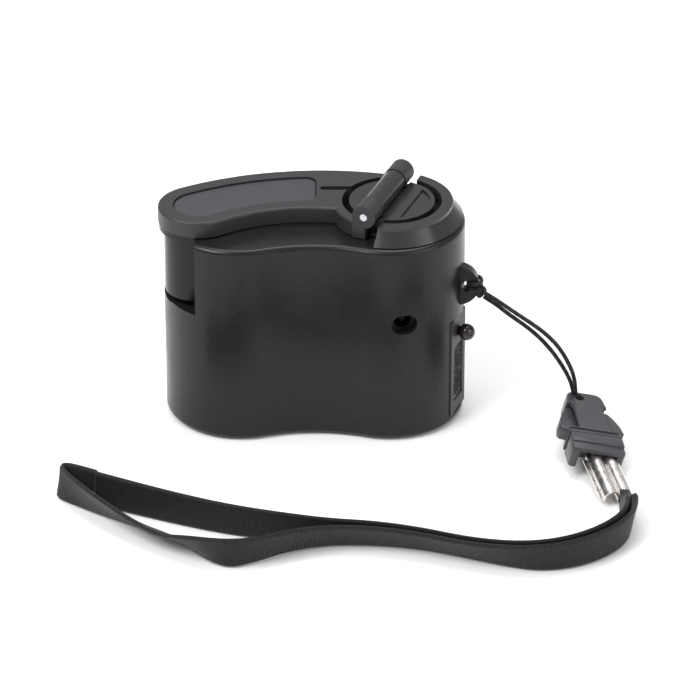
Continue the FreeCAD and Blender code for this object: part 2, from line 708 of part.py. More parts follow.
def make_arm():
    """The folding arm: a curved plate that forks round the hub's disc and ends in two hinge knuckles."""
    low = "top_height - arm_thickness"
    far, fork_side, plate_end, panel_end = 30, dim("fork_side"), 18.0, 0.4
    plate = banana("arm_plate", "0.0", plate_end, low, "top_height")
    fork = cylinder("arm_fork", "fork_radius", "arm_thickness", on_hub(low))
    right_side = beside_barrel("arm_right_side", (fork_side, far), (-far, far), low, "top_height")
    disc_room = cylinder("arm_disc_room", "ring_inner", "arm_thickness", on_hub(low))
    top_edge = flat_at(dim("top_height"))
    plate = edge_fillet("arm_plate_softened", plate, "arm_edge", top_edge)
    fork = edge_fillet("arm_fork_softened", fork, "arm_edge", top_edge)
    plan = cut("arm_plan", fuse("arm_flat", plate, fork), right_side, disc_room)
    through = ("arm_thickness + 1", f"{low} - 0.5")
    slot = block(
        "arm_slot", "slot_length", "slot_width", through[0], ("slot_x", "slot_y - slot_width / 2", through[1])
    )
    slot_end = cylinder("arm_slot_end", "slot_width / 2", through[0], ("slot_x", "slot_y", through[1]))
    recess = banana("panel_recess", "panel_inset", panel_end, "top_height - panel_depth", "top_height + 1")
    recess = edge_fillet("panel_recess_rounded", recess, "panel_corner", upright_at(panel_end))
    start, end, radius = dim("knuckle_start"), dim("knuckle_end"), dim("knuckle_radius")
    knuckles = [
        along_barrel(start, "knuckle_radius", end - start, "knuckle_back"),
        along_barrel(-end, "knuckle_radius", end - start, "knuckle_front"),
    ]
    saddle_start = dim("ring_inner") + 0.05
    saddles = [
        beside_barrel(f"saddle_{label}", (-radius, fork_side), sorted(along), low, "barrel_height")
        for label, along in (("back", (saddle_start, end)), ("front", (-saddle_start, -end)))
    ]
    solid = fuse("arm_solid", cut("arm_opened", plan, slot, slot_end, recess), *knuckles, *saddles)
    bore = along_barrel(-2 * dim("barrel_half"), "pin_radius", 4 * dim("barrel_half"), "arm_pin_bore")
    rivet = cylinder("knob_pin_hole", "knob_pin_radius", "knob_pin_let_in + 0.2", ("knob_x", "knob_y", low))
    piece("crank_arm", cut("crank_arm_final", solid, bore, rivet))
    sunk = "top_height - panel_sink"
    inlay_end = panel_end - dim("fit_gap")
    inlay = banana("panel_inlay", "inlay_inset", inlay_end, "top_height - panel_depth", sunk)
    inlay = edge_fillet("panel_inlay_rounded", inlay, "panel_corner", upright_at(inlay_end))
    inlay_edge = flat_at(dim("top_height") - dim("panel_sink"))
    piece("arm_panel", edge_fillet("arm_panel_final", inlay, 0.2, inlay_edge))
    piece("hinge_pin", along_barrel(-end - 0.1, "pin_radius", 2 * end + 0.2, "hinge_pin_round"))


def make_knob():
    """The turning knob that hangs in the bay, on a sleeve riveted to the arm and a screw from below."""
    at = ("knob_x", "knob_y")
    top = "top_height - arm_thickness - fit_gap"
    grip = cylinder("knob_grip", "knob_radius", f"{top} - knob_bottom", (*at, "knob_bottom"))
    flange = cylinder("knob_flange", "flange_radius", "flange_thickness", (*at, f"{top} - flange_thickness"))
    foot = flat_at(dim("knob_bottom"))
    solid = edge_fillet("knob_rounded", fuse("knob_solid", grip, flange), "knob_edge", foot)
    bore = cylinder("knob_bore", "knob_pin_radius + running_gap", "beyond", (*at, "knob_bottom - 1"))
    seat = cylinder("knob_screw_seat", "knob_seat_radius", "knob_seat + 1", (*at, "knob_bottom - 1"))
    piece("knob", cut("knob_final", solid, bore, seat))
    head_top = "knob_bottom + 1.0 + knob_head_depth"
    sleeve = cylinder(
        "knob_sleeve", "knob_pin_radius", f"top_height - arm_thickness + knob_pin_let_in - ({head_top})",
        (*at, head_top),
    )
    hole = cylinder("knob_sleeve_hole", "screw_radius", "9", (*at, "knob_bottom + 2"))
    piece("knob_pin", cut("knob_pin_final", sleeve, hole))
    head = cylinder("knob_screw_head", "knob_head_radius", "knob_head_depth", (*at, "knob_bottom + 1.0"))
    shank = cylinder("knob_screw_shank", "screw_radius", "7", (*at, head_top))
    piece("knob_screw", fuse("knob_screw_final", head, shank))


# Tooth form: a 25 degree pressure angle, so that 12 teeth need no undercut
PRESSURE_ANGLE = math.radians(25)
BACKLASH = 0.11
TIP_HEIGHT = 0.9
ROOT_DEPTH = 1.15
FLANK_POINTS = 4


def gear(teeth, phase, low, high, centre):
    """A spur gear with involute flanks, one tooth centred on the angle phase."""
    module, teeth = dim("gear_module"), int(teeth)
    pitch = module * teeth / 2
    base = pitch * math.cos(PRESSURE_ANGLE)
    tip, root = pitch + TIP_HEIGHT * module, pitch - ROOT_DEPTH * module
    involute = math.tan(PRESSURE_ANGLE) - PRESSURE_ANGLE
    half_at_pitch = math.pi / (2 * teeth) - BACKLASH / (4 * pitch)

    def half_angle(radius):
        angle = math.acos(min(1.0, base / radius))
        return half_at_pitch + involute - (math.tan(angle) - angle)

    start = max(root, base)
    radii = [start + (tip - start) * n / (FLANK_POINTS - 1) for n in range(FLANK_POINTS)]

    def polar(radius, angle):
        return Vector(centre.x + radius * math.cos(angle), centre.y + radius * math.sin(angle), low)

    outline = []
    for tooth in range(teeth):
        middle = phase + 2 * math.pi * tooth / teeth
        rising = [(r, middle - half_angle(r)) for r in radii]
        falling = [(r, middle + half_angle(r)) for r in reversed(radii)]
        foot = [(root, rising[0][1])] if root < start - 0.01 else []
        heel = [(root, falling[-1][1])] if root < start - 0.01 else []
        outline += [polar(r, a) for r, a in [*foot, *rising, *falling, *heel]]
    face = Part.Face(Part.makePolygon([*outline, outline[0]]))
    return face.extrude(Vector(0, 0, high - low))


def level(name):
    """A height counted from the gear plate's underside."""
    return dim("plate_height") + dim(name)


def drilled(shape, centre, radius):
    """A gear with its bore."""
    bottom = Vector(centre.x, centre.y, dim("plate_height"))
    return shape.cut(Part.makeCylinder(radius, dim("beyond"), bottom, Vector(0, 0, 1)))


def make_gears():
    """A three-step train that turns the rotor 44 times for one turn of the crank."""
    hub = Vector(dim("hub_x"), dim("hub_y"), 0)
    back = TRAIN_ANGLE + math.pi
    small, step = dim("pinion_teeth"), dim("step_teeth")
    bore = dim("train_pin_radius") + dim("running_gap")

    drive = gear(dim("drive_teeth"), TRAIN_ANGLE, level("drive_low"), level("drive_high"), hub)
    piece("drive_gear", feature("drive_gear_teeth", drilled(drive, hub, dim("shaft_radius"))))
    idler = gear(small, back + math.pi / small, level("idler_mid"), level("idler_high"), TRAIN)
    idler = idler.fuse(gear(dim("wheel_teeth"), back, level("idler_low"), level("idler_mid"), TRAIN))
    piece("idler_gear", feature("idler_gear_teeth", drilled(idler, TRAIN, bore)))
    second = gear(step, math.pi / step + TRAIN_ANGLE, level("step_mid"), level("step_high"), hub)
    step_wheel = gear(dim("step_wheel_teeth"), TRAIN_ANGLE, level("step_low"), level("step_mid"), hub)
    second = second.fuse(step_wheel)
    piece("step_gear", feature("step_gear_teeth", drilled(second, hub, bore)))
    pinion = gear(small, back + math.pi / small, level("pinion_low"), level("pinion_high"), TRAIN)
    piece("rotor_pinion", feature("rotor_pinion_teeth", drilled(pinion, TRAIN, dim("rotor_radius"))))

    pin_low = "plate_height + idler_low - 0.2"
    idler_pin = cylinder("idler_pin_round", "train_pin_radius", "7.0", on_train(pin_low))
    idler_head = cylinder("idler_pin_head", "train_pin_radius + 0.6", "0.35", on_train(f"{pin_low} - 0.3"))
    piece("idler_pin", fuse("idler_pin_final", idler_pin, idler_head))
    piece("step_pin", cylinder("step_pin_round", "train_pin_radius", "step_high", on_hub("plate_height")))
    make_gear_plate()


def make_gear_plate():
    """The plate that carries the step gear's pin and the rotor's upper bush, and its four screws."""
    top = "plate_height + plate_thickness"
    plate = kidney("gear_plate_outline", "plate_inset", "plate_height", top)
    kept = cylinder("gear_plate_reach", "swing_inner - wall - 0.4", "4", on_hub("plate_height - 1"))
    plate = common("gear_plate_trimmed", plate, kept)
    holes = [
        cylinder("upper_bush_hole", "rotor_bush_radius", "4", on_train("plate_height - 1")),
        cylinder("step_pin_hole", "train_pin_radius", "4", on_hub("plate_height - 1")),
    ]
    holes += at_posts("plate_hole", "screw_radius + fit_gap", "4", "plate_height - 1")
    piece("gear_plate", cut("gear_plate_final", plate, *holes))
    heads = at_posts("plate_screw_head", "plate_screw_head", "0.7", top)
    shanks = at_posts(
        "plate_screw_shank", "screw_radius - thread_bite", "plate_screw_length", f"{top} - plate_screw_length"
    )
    group("plate_screws", [fuse(f"plate_screw_{n}", *pair) for n, pair in enumerate(zip(heads, shanks))])


def make_generator():
    """The generator under the gears: steel can, coil on its core, magnet rotor and two bushes."""
    core_low, coil_low, magnet_low = "can_bottom + 2.5", "can_bottom + 3.0", "can_bottom + 3.5"
    can = cylinder("can_outer", "can_radius", "plate_height - can_bottom - fit_gap", on_train("can_bottom"))
    room = cylinder("can_inner", "can_radius - can_wall", "beyond", on_train("can_bottom + can_wall"))
    bush_hole = cylinder("can_bush_hole", "rotor_bush_radius", "4", on_train("can_bottom - 1"))
    piece("generator_can", cut("generator_can_final", can, room, bush_hole))
    core = cylinder("core_outer", "can_radius - can_wall - 0.05", "core_height", on_train(core_low))
    core_hole = cylinder("core_inner", "core_bore", "core_height + 2", on_train(f"{core_low} - 1"))
    piece("stator_core", cut("stator_core_final", core, core_hole))
    coil = cylinder("coil_outer", "core_bore - 0.05", "core_height - 1", on_train(coil_low))
    coil_hole = cylinder(
        "coil_inner", "magnet_radius + coil_gap", "core_height + 2", on_train(f"{core_low} - 1")
    )
    piece("stator_coil", cut("stator_coil_final", coil, coil_hole))
    magnet = cylinder("magnet_outer", "magnet_radius", "core_height - 2", on_train(magnet_low))
    magnet_hole = cylinder("magnet_hole", "rotor_radius", "core_height", on_train(core_low))
    piece("rotor_magnet", cut("rotor_magnet_final", magnet, magnet_hole))
    shaft_top = "plate_height + pinion_high + fit_gap"
    shaft = cylinder(
        "rotor_shaft_round", "rotor_radius", f"{shaft_top} - can_bottom + 0.2", on_train("can_bottom - 0.2")
    )
    piece("rotor_shaft", shaft)
    for label, low in (("lower_bush", "can_bottom"), ("upper_bush", "plate_height")):
        tube = cylinder(f"{label}_tube", "rotor_bush_radius", "plate_thickness", on_train(low))
        bore = cylinder(f"{label}_bore", "rotor_radius + running_gap", "4", on_train(f"{low} - 1"))
        piece(label, cut(f"{label}_final", tube, bore))


def port_round(name, radius, out, length):
    """A cylinder that points out of the phone socket's side at the indicator's height."""
    obj = doc.addObject("Part::Cylinder", name)
    obj.setExpression("Radius", rule(radius))
    obj.Height = length
    base = Vector(dim("lobe_centre"), 0, 0) + PORT_OUT * out
    obj.Placement = Placement(base, Rotation(Vector(0, 0, 1), PORT_OUT))
    obj.setExpression("Placement.Base.z", rule("led_height"))
    return obj


def make_port():
    """The phone socket in the right lobe with its panel, metal shell, tongue and contacts."""
    face = dim("port_face")
    half = dim("port_width") / 2 - dim("fit_gap")
    bottom, top = "port_low + fit_gap", "port_high - fit_gap"
    panel = by_port("panel_block", (face - dim("panel_thickness"), face), (-half, half), bottom, top)
    mouth_low, mouth_high, mouth_half = "usb_low - 0.2", "usb_low + usb_tall + 0.2", 2.5
    window = by_port("panel_window", (face - 3, face + 2), (-mouth_half, mouth_half), mouth_low, mouth_high)
    led_hole = port_round("panel_led_hole", "led_stem + 0.05", face - 5, 8)
    piece("port_panel", cut("port_panel_final", panel, window, led_hole))

    inner, sheet = dim("usb_wide") / 2, dim("sheet_metal")
    back, mouth = face - dim("usb_deep"), face - 0.4
    around = inner + dim("fit_gap")
    low, high = "usb_low - fit_gap", "usb_low + usb_tall + fit_gap"
    shell = by_port("usb_shell_outer", (back, mouth), (-around, around), low, high)
    room = by_port(
        "usb_shell_room", (back + sheet, face + 3), (-inner + sheet, inner - sheet),
        "usb_low + sheet_metal", "usb_low + usb_tall - sheet_metal",
    )
    piece("usb_shell", cut("usb_shell_final", shell, room))
    tongue = by_port(
        "usb_tongue_block", (back + sheet, face - dim("tongue_back")), (0.1, inner - sheet - 0.1),
        "usb_low + 1.2", "usb_low + usb_tall - 1.2",
    )
    piece("usb_tongue", tongue)
    contacts = []
    for n in range(4):
        low = f"usb_low + 2.1 + {n} * contact_pitch"
        contacts.append(
            by_port(
                f"usb_contact_{n}", (back + 1, face - dim("tongue_back") - 0.8),
                (-dim("contact_thickness"), dim("contact_thickness")), low, f"{low} + contact_width",
            )
        )
    group("usb_contacts", contacts)
    make_board(inner + 0.2)

    stem = port_round("led_stem_round", "led_stem", face - 2.4, 2.6)
    dome = doc.addObject("Part::Sphere", "led_dome")
    dome.setExpression("Radius", rule("led_radius"))
    centre = Vector(dim("lobe_centre"), 0, 0) + PORT_OUT * (face + dim("led_radius"))
    dome.Placement = Placement(centre, Rotation())
    dome.setExpression("Placement.Base.z", rule("led_height"))
    piece("indicator_led", fuse("indicator_led_final", stem, dome))


def make_board(side):
    """The circuit board beside the socket, with its regulator, capacitor and rectifier diodes."""
    front = side + dim("board_thickness")
    piece("circuit_board", by_port("board_block", (-4.5, 12.4), (side, front), "board_low", "board_high"))
    piece("regulator_chip", by_port("chip_block", (0.5, 5.5), (front, front + 1.4), "11.5", "16.5"))
    radius = dim("capacitor_radius")
    foot = PORT_TURN.multVec(Vector(8.6, front + radius + 0.05, 0)) + Vector(dim("lobe_centre"), 0, 0)
    can = doc.addObject("Part::Cylinder", "capacitor_can")
    can.setExpression("Radius", rule("capacitor_radius"))
    can.setExpression("Height", rule("capacitor_height"))
    can.Placement = Placement(foot, Rotation())
    can.setExpression("Placement.Base.z", rule("board_low + 1"))
    piece("capacitor", edge_fillet("capacitor_final", can, 0.3, lambda edge: True))
    diodes = []
    low, high = "board_low + 1.3", "board_low + 4.1"
    for n in range(4):
        start = -3.6 + n * dim("diode_pitch")
        diodes.append(by_port(f"diode_{n}", (start, start + 1.2), (front, front + 1.1), low, high))
    group("diodes", diodes)


def make_jack():
    """The round output socket behind the oval hole in the front."""
    start, depth = dim("jack_back"), 1.5
    body = jack_cylinder("jack_body", "jack_radius + jack_wall", start, "jack_length")
    bore = jack_cylinder("jack_bore", "jack_radius - 0.3", start + depth, "jack_length")
    piece("output_jack", cut("output_jack_final", body, bore))
    piece("jack_pin", jack_cylinder("jack_pin_round", "jack_pin_radius", start + depth, "jack_length - 2"))


def rounded_path(points, name):
    """Straight runs joined by tangent arcs, each as large as its two runs allow; prints the radii."""
    edges, here, radii = [], points[0], []
    for before, corner, after in zip(points, points[1:], points[2:]):
        inward, outward = (before - corner), (after - corner)
        shorter = min(inward.Length, outward.Length)
        inward.normalize()
        outward.normalize()
        turn = math.pi - inward.getAngle(outward)
        trim = 0.45 * shorter
        radius = trim / math.tan(turn / 2)
        radii.append(round(radius, 1))
        first, last = corner + inward * trim, corner + outward * trim
        middle = inward + outward
        middle.normalize()
        bulge = corner + middle * (radius / math.cos(turn / 2) - radius)
        edges += [Part.LineSegment(here, first).toShape(), Part.Arc(first, bulge, last).toShape()]
        here = last
    edges.append(Part.LineSegment(here, points[-1]).toShape())
    print(name, "radii", radii)
    return Part.Wire(edges)


def cord_shape(name, points, radius):
    """A round cord along its route; its volume is compared with its section times its length."""
    path = rounded_path([Vector(*p) for p in points], name)
    first = path.Edges[0]
    start = first.valueAt(first.FirstParameter)
    circle = Part.Wire(Part.Circle(start, first.tangentAt(first.FirstParameter), radius).toShape())
    solid = path.makePipeShell([circle], True, False)
    expected = math.pi * radius**2 * path.Length
    print(name, "length", round(path.Length, 1), "volume ratio", round(solid.Volume / expected, 4))
    return solid


def band_shape(name, points):
    """Webbing that stands on its edge along its route."""
    path = rounded_path([Vector(x, y, 0) for x, y in points], name)
    first = path.Edges[0]
    start, along = first.valueAt(first.FirstParameter), first.tangentAt(first.FirstParameter)
    thickness, height = dim("strap_thickness"), dim("strap_height")
    across = Vector(-along.y, along.x, 0) * (thickness / 2)
    rise = Vector(0, 0, height)
    corners = [start - across, start + across, start + across + rise, start - across + rise]
    profile = Part.makePolygon([*corners, corners[0]])
    pipe = Part.BRepOffsetAPI.MakePipeShell(path)
    pipe.setBiNormalMode(Vector(0, 0, 1))
    pipe.add(profile)
    pipe.build()
    pipe.makeSolid()
    solid = pipe.shape()
    expected = thickness * height * path.Length
    print(name, "length", round(path.Length, 1), "volume ratio", round(solid.Volume / expected, 4))
    return solid


# The cord's two strands, from the knot at the strap eye to the buckle's rear
CORD_OUTER = [
    (33.9, -5.8, 28.8), (36.0, -6.4, 27.7), (39.1, -7.4, 25.8), (42.4, -8.8, 24.1),
    (45.4, -10.0, 22.4), (48.1, -11.0, 20.1), (50.1, -11.5, 17.1), (51.5, -11.6, 13.9),
    (52.1, -11.4, 11.0), (52.2, -11.0, 8.6),
]
CORD_INNER = [
    (33.7, -5.5, 27.8), (35.8, -5.8, 26.5), (38.9, -6.8, 24.3), (41.9, -8.1, 22.7),
    (44.6, -9.0, 20.7), (47.2, -9.8, 18.0), (49.2, -10.3, 15.1), (50.7, -10.6, 12.4),
    (51.5, -10.7, 10.2), (51.8, -10.6, 8.3),
]
# The strap's two bands, from the clamp round the long loop to the fold at the far left
STRAP_FRONT = [
    (59.3, -37.9), (61.0, -43.5), (61.9, -48.5), (60.6, -53.8), (56.5, -58.8), (50.5, -62.6),
    (43.5, -64.3), (36.5, -63.2), (29.0, -60.6), (21.0, -57.6), (12.3, -55.9), (3.0, -55.7),
    (-4.7, -58.0), (-10.7, -61.4), (-16.3, -63.0), (-21.6, -60.4), (-27.7, -55.0), (-35.3, -49.6),
    (-42.8, -44.2), (-48.9, -37.6),
]
STRAP_BACK = [
    (57.9, -38.2), (59.4, -43.9), (60.2, -48.6), (58.9, -53.0), (55.2, -57.4), (49.9, -60.9),
    (43.6, -62.6), (37.0, -61.5), (29.6, -58.9), (21.6, -55.9), (12.4, -54.2), (2.6, -54.0),
    (-7.2, -52.9), (-17.0, -50.2), (-27.7, -45.9), (-38.0, -41.4), (-48.6, -37.1),
]


def make_lanyard():
    """The cord, its knot on the strap eye, the side-release buckle, the metal clamp and the strap."""
    radius = dim("cord_radius")
    piece("cord_outer", feature("cord_outer_round", cord_shape("cord_outer", CORD_OUTER, radius)))
    piece("cord_inner", feature("cord_inner_round", cord_shape("cord_inner", CORD_INNER, radius)))
    wraps = [
        primitive(
            "Torus", f"eye_wrap_{n}", ("eye_x + eye_hole_x + 0.92", "eye_y", f"eye_height + {rise}"),
            Radius1="wrap_radius", Radius2="cord_radius",
        )
        for n, rise in enumerate((0.65, -0.65))
    ]
    bead = primitive(
        "Ellipsoid", "knot_bead", ("eye_x + 4.4", "eye_y - 1.5", "eye_height - 1.2"),
        Radius1="1.25", Radius2="1.25", Radius3="1.15",
    )
    slack = "0.01"
    eye_solid = cylinder(
        "knot_eye_room", f"eye_radius + {slack}", f"eye_width + 2 * {slack}",
        ("eye_x", f"eye_y - eye_width / 2 - {slack}", "eye_height"), ALONG_Y,
    )
    gap_at = ("eye_x + eye_hole_x", "eye_y - 4", "eye_height")
    eye_gap = cylinder("knot_eye_gap", f"eye_hole - {slack}", "8", gap_at, ALONG_Y)
    knot = fuse("knot_solid", *wraps, bead)
    piece("cord_knot", cut("cord_knot_final", knot, cut("knot_ring", eye_solid, eye_gap)))
    make_buckle_female()
    make_buckle_male()
    make_clamp()
    piece("strap_front", feature("strap_front_band", band_shape("strap_front", STRAP_FRONT)))
    piece("strap_back", feature("strap_back_band", band_shape("strap_back", STRAP_BACK)))


def buckle_place():
    """Where the buckle lies: its own origin is the middle of the female half's front face."""
    turn = Rotation(Vector(0, 0, 1), dim("buckle_yaw"))
    turn = turn.multiply(Rotation(Vector(0, 1, 0), dim("buckle_roll")))
    turn = turn.multiply(Rotation(Vector(1, 0, 0), dim("buckle_pitch")))
    return Placement(Vector(dim("buckle_x"), dim("buckle_y"), dim("buckle_height")), turn)


def own_box(x, y, z):
    """A box in the buckle's own directions, each given as low and high."""
    return Part.makeBox(x[1] - x[0], y[1] - y[0], z[1] - z[0], Vector(x[0], y[0], z[0]))


def slab(outline, half_thick):
    """A flat form of an outline, equally thick above and below the buckle's middle plane."""
    wire = Part.makePolygon([Vector(x, y, -half_thick) for x, y in [*outline, outline[0]]])
    return Part.Face(wire).extrude(Vector(0, 0, 2 * half_thick))


def tapered(front_half, rear_half, start, length, half_thick):
    """A slab that narrows from the front to the rear."""
    return slab(
        [(-front_half, start), (front_half, start), (rear_half, start + length), (-rear_half, start + length)],
        half_thick,
    )


def make_buckle_female():
    """The buckle's housing: a tapered block with a throat, side windows and a hole for the cord."""
    wide, rear = dim("buckle_width") / 2, dim("buckle_rear_width") / 2
    long, thick = dim("buckle_length"), dim("buckle_thickness") / 2
    corner, edge = 1.6, 0.45
    female = tapered(wide, rear, 0, long, thick)
    rear_corners = [
        e for e in female.Edges if abs(e.BoundBox.ZLength - 2 * thick) < 0.01 and e.BoundBox.YMin > long - 0.1
    ]
    female = female.makeFillet(corner, rear_corners)
    rims = [e for e in female.Edges if e.BoundBox.ZLength < 0.01 and e.BoundBox.YMax > 0.1]
    female = female.makeFillet(edge, rims)
    side, beyond = dim("window_side"), wide + 4
    window = (dim("window_start"), dim("window_end"))
    throat = thick - dim("buckle_wall") + 0.05
    tools = [
        own_box((side, beyond), window, (-thick - 1, thick + 1)),
        own_box((-beyond, -side), window, (-thick - 1, thick + 1)),
        tapered(dim("throat_half"), dim("throat_half") - 0.5, -1, window[1] + 1, throat),
        Part.makeCylinder(dim("cord_hole"), 8, Vector(dim("cord_hole_x"), long - dim("cord_hole_back"), -4)),
    ]
    for tool in tools:
        female = female.cut(tool)
    piece("buckle_female", feature("buckle_female_form", female, buckle_place()))


def make_buckle_male():
    """The buckle's plug: a block that holds the clamp, two springy prongs and a guide tongue."""
    half, long, thick = dim("male_width") / 2, dim("male_length"), dim("buckle_thickness") / 2
    inner, outer, prong = dim("prong_inner"), dim("prong_outer"), dim("prong_half_thickness")
    male = own_box((-half, half), (-long, -0.15), (-thick, thick))
    ends = [e for e in male.Edges if e.BoundBox.YMax > -0.2 or e.BoundBox.YMin < -long + 0.1]
    male = male.makeFillet(0.5, ends)
    opening = dim("male_opening_half")
    male = male.cut(own_box((-opening, opening), (-long - 1, -1.7), (-thick - 1, thick - 1.0)))
    hook = [(inner, 4.0), (outer, 4.0), (5.7, 4.4), (5.9, 7.0), (4.6, 8.6), (inner, 8.6)]
    for sign in (-1, 1):
        across = sorted((sign * inner, sign * outer))
        male = male.fuse(own_box(across, (-0.3, 6.0), (-prong, prong)))
        male = male.fuse(slab([(sign * x, y) for x, y in hook], prong))
    guide = dim("tongue_half")
    male = male.fuse(own_box((-guide, guide), (-0.3, 7.8), (-1.0, 1.0))).removeSplitter()
    piece("buckle_male", feature("buckle_male_form", male, buckle_place()))


def make_clamp():
    """The clamp: two half-round folds of sheet side by side, pressed round the strap's ends."""
    tube, sheet, apart = dim("clamp_tube"), dim("clamp_sheet"), dim("clamp_apart")
    start, along, drop = -dim("clamp_start"), Vector(0, -1, 0), -0.3
    clamp = None
    for sign in (-1, 1):
        outer = Part.makeCylinder(tube, dim("clamp_length"), Vector(sign * apart, start, drop), along)
        clamp = outer if clamp is None else clamp.fuse(outer)
    for sign in (-1, 1):
        clamp = clamp.cut(Part.makeCylinder(tube - sheet, 22, Vector(sign * apart, 0, drop), along))
    clamp = clamp.cut(own_box((-4, 4), (-22, 0), (-3, -0.8)))
    turn = Rotation(Vector(0, 0, 1), dim("buckle_yaw") + dim("clamp_yaw"))
    turn = turn.multiply(Rotation(Vector(0, 1, 0), dim("buckle_roll") * 0.8))
    turn = turn.multiply(Rotation(Vector(1, 0, 0), dim("clamp_pitch")))
    base = buckle_place().multVec(Vector(0, 0, drop))
    piece("strap_clamp", feature("strap_clamp_form", clamp, Placement(base, turn)))


make_base()
make_housing()
make_hub()
make_arm()
make_knob()
make_gears()
make_generator()
make_port()
make_jack()
make_lanyard()

doc.recompute()
broken = [o.Name for o in doc.Objects if "Invalid" in o.State or "Error" in o.State]
if broken:
    raise RuntimeError(f"objects that failed: {broken}")
for obj in pieces:
    if obj.Shape.isNull() or not obj.Shape.isValid():
        raise RuntimeError(f"{obj.Label} has no valid shape")
os.makedirs("parts", exist_ok=True)
for obj in pieces:
    obj.Shape.exportStep(f"parts/{obj.Label}.step")
    print(obj.Label, len(obj.Shape.Solids), "solids", round(obj.Shape.Volume, 1), "mm3")
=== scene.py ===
# %% [markdown]
# # A hand crank phone charger
# The moving parts, the gears and the shells come ready in real size, in metres.
# This script gives every one of them its finish, and models what is soft or finely
# shaped: the braided cord, the woven wrist strap, the knot, the buckle and the metal clamp.

# %% Load the frame
import math

import bpy
from mathutils import Matrix, Vector


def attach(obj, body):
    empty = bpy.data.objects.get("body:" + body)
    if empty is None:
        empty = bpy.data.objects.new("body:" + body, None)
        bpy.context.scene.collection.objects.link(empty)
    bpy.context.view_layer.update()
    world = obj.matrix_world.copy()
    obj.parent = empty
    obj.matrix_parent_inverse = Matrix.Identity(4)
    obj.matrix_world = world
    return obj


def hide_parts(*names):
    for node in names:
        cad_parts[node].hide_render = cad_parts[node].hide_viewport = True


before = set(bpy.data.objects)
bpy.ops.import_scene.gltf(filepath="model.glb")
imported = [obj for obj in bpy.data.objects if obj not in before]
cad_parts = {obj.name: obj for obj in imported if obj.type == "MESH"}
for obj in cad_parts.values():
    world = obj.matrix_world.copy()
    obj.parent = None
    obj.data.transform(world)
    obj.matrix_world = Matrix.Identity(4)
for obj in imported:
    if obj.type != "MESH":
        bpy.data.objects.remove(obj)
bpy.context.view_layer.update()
bpy.ops.object.select_all(action="DESELECT")
MM = 0.001

# %% [markdown]
# ## Camera
# The photograph looks down on the charger from the front. A long lens far away keeps the
# upright edges parallel, as product pictures do, so the camera stands 0.9 m off.

# %% Camera
CAMERA_RISE = math.radians(29.32)
CAMERA_AWAY = 0.9
BOX_MIDDLE = Vector((7.3, 0.0, 20.0)) * MM
PICTURE_MIDDLE = Vector((7.1, 0.0, 12.4)) * MM
SENSOR_MM = 36.0
SEEN_WIDTH_MM = 140.6

bpy.ops.object.camera_add()
camera = bpy.context.object
camera.data.sensor_width = SENSOR_MM
camera.data.lens = SENSOR_MM * CAMERA_AWAY / (SEEN_WIDTH_MM * MM)
away = Vector((0.0, -math.cos(CAMERA_RISE), math.sin(CAMERA_RISE)))
camera.location = BOX_MIDDLE + away * CAMERA_AWAY
camera.rotation_euler = (PICTURE_MIDDLE - camera.location).to_track_quat("-Z", "Y").to_euler()
bpy.context.scene.camera = camera
print("lens", round(camera.data.lens, 1), "mm")

# %% [markdown]
# ## Colours and nodes
# Colours are written as they look on screen and turned to linear light by one function.
# One small function adds a shader node with its settings and links, so that each finish
# below reads as a short list.

# %% Helpers for materials
def linear(code):
    """A screen colour such as #1a1a1c as linear light."""
    parts = [int(code[i:i + 2], 16) / 255 for i in (1, 3, 5)]
    return (*[p / 12.92 if p <= 0.04045 else ((p + 0.055) / 1.055) ** 2.4 for p in parts], 1.0)


def add(material, kind, settings=None, inputs=None):
    """Adds a shader node; its inputs take plain values or the outputs of other nodes."""
    tree = material.node_tree
    made = tree.nodes.new(kind)
    for name, value in (settings or {}).items():
        setattr(made, name, value)
    for name, value in (inputs or {}).items():
        if isinstance(value, bpy.types.NodeSocket):
            tree.links.new(value, made.inputs[name])
        else:
            made.inputs[name].default_value = value
    return made


def finish_of(name, roughness, metallic=0.0, **sockets):
    """A new material with its main shader; returns both."""
    material = bpy.data.materials.new(name)
    material.use_nodes = True
    shader = material.node_tree.nodes["Principled BSDF"]
    shader.inputs["Roughness"].default_value = roughness
    shader.inputs["Metallic"].default_value = metallic
    for socket, value in sockets.items():
        shader.inputs[socket.replace("_", " ")].default_value = value
    return material, shader


def plug(material, output, shader, socket):
    """Links an output to one of the main shader's sockets."""
    material.node_tree.links.new(output, shader.inputs[socket])

# %% [markdown]
# ## Moulded plastic
# The box is injection moulded ABS. A moulding tool leaves a very fine grain, so the
# highlight is satin, and the skin has faint waves where the plastic shrank. Handling
# wears the grain to a soft shine, which shows as slightly uneven roughness. The real
# grain is too fine to show at this size, so it is drawn a few times coarser. One
# function makes every moulded or cast finish, and only its numbers differ.

# %% Moulded plastic
CLOUD_MM = 9
GRAIN_HEIGHT_MM = 0.05
WAVE_MM = 14
WAVE_HEIGHT_MM = 0.6


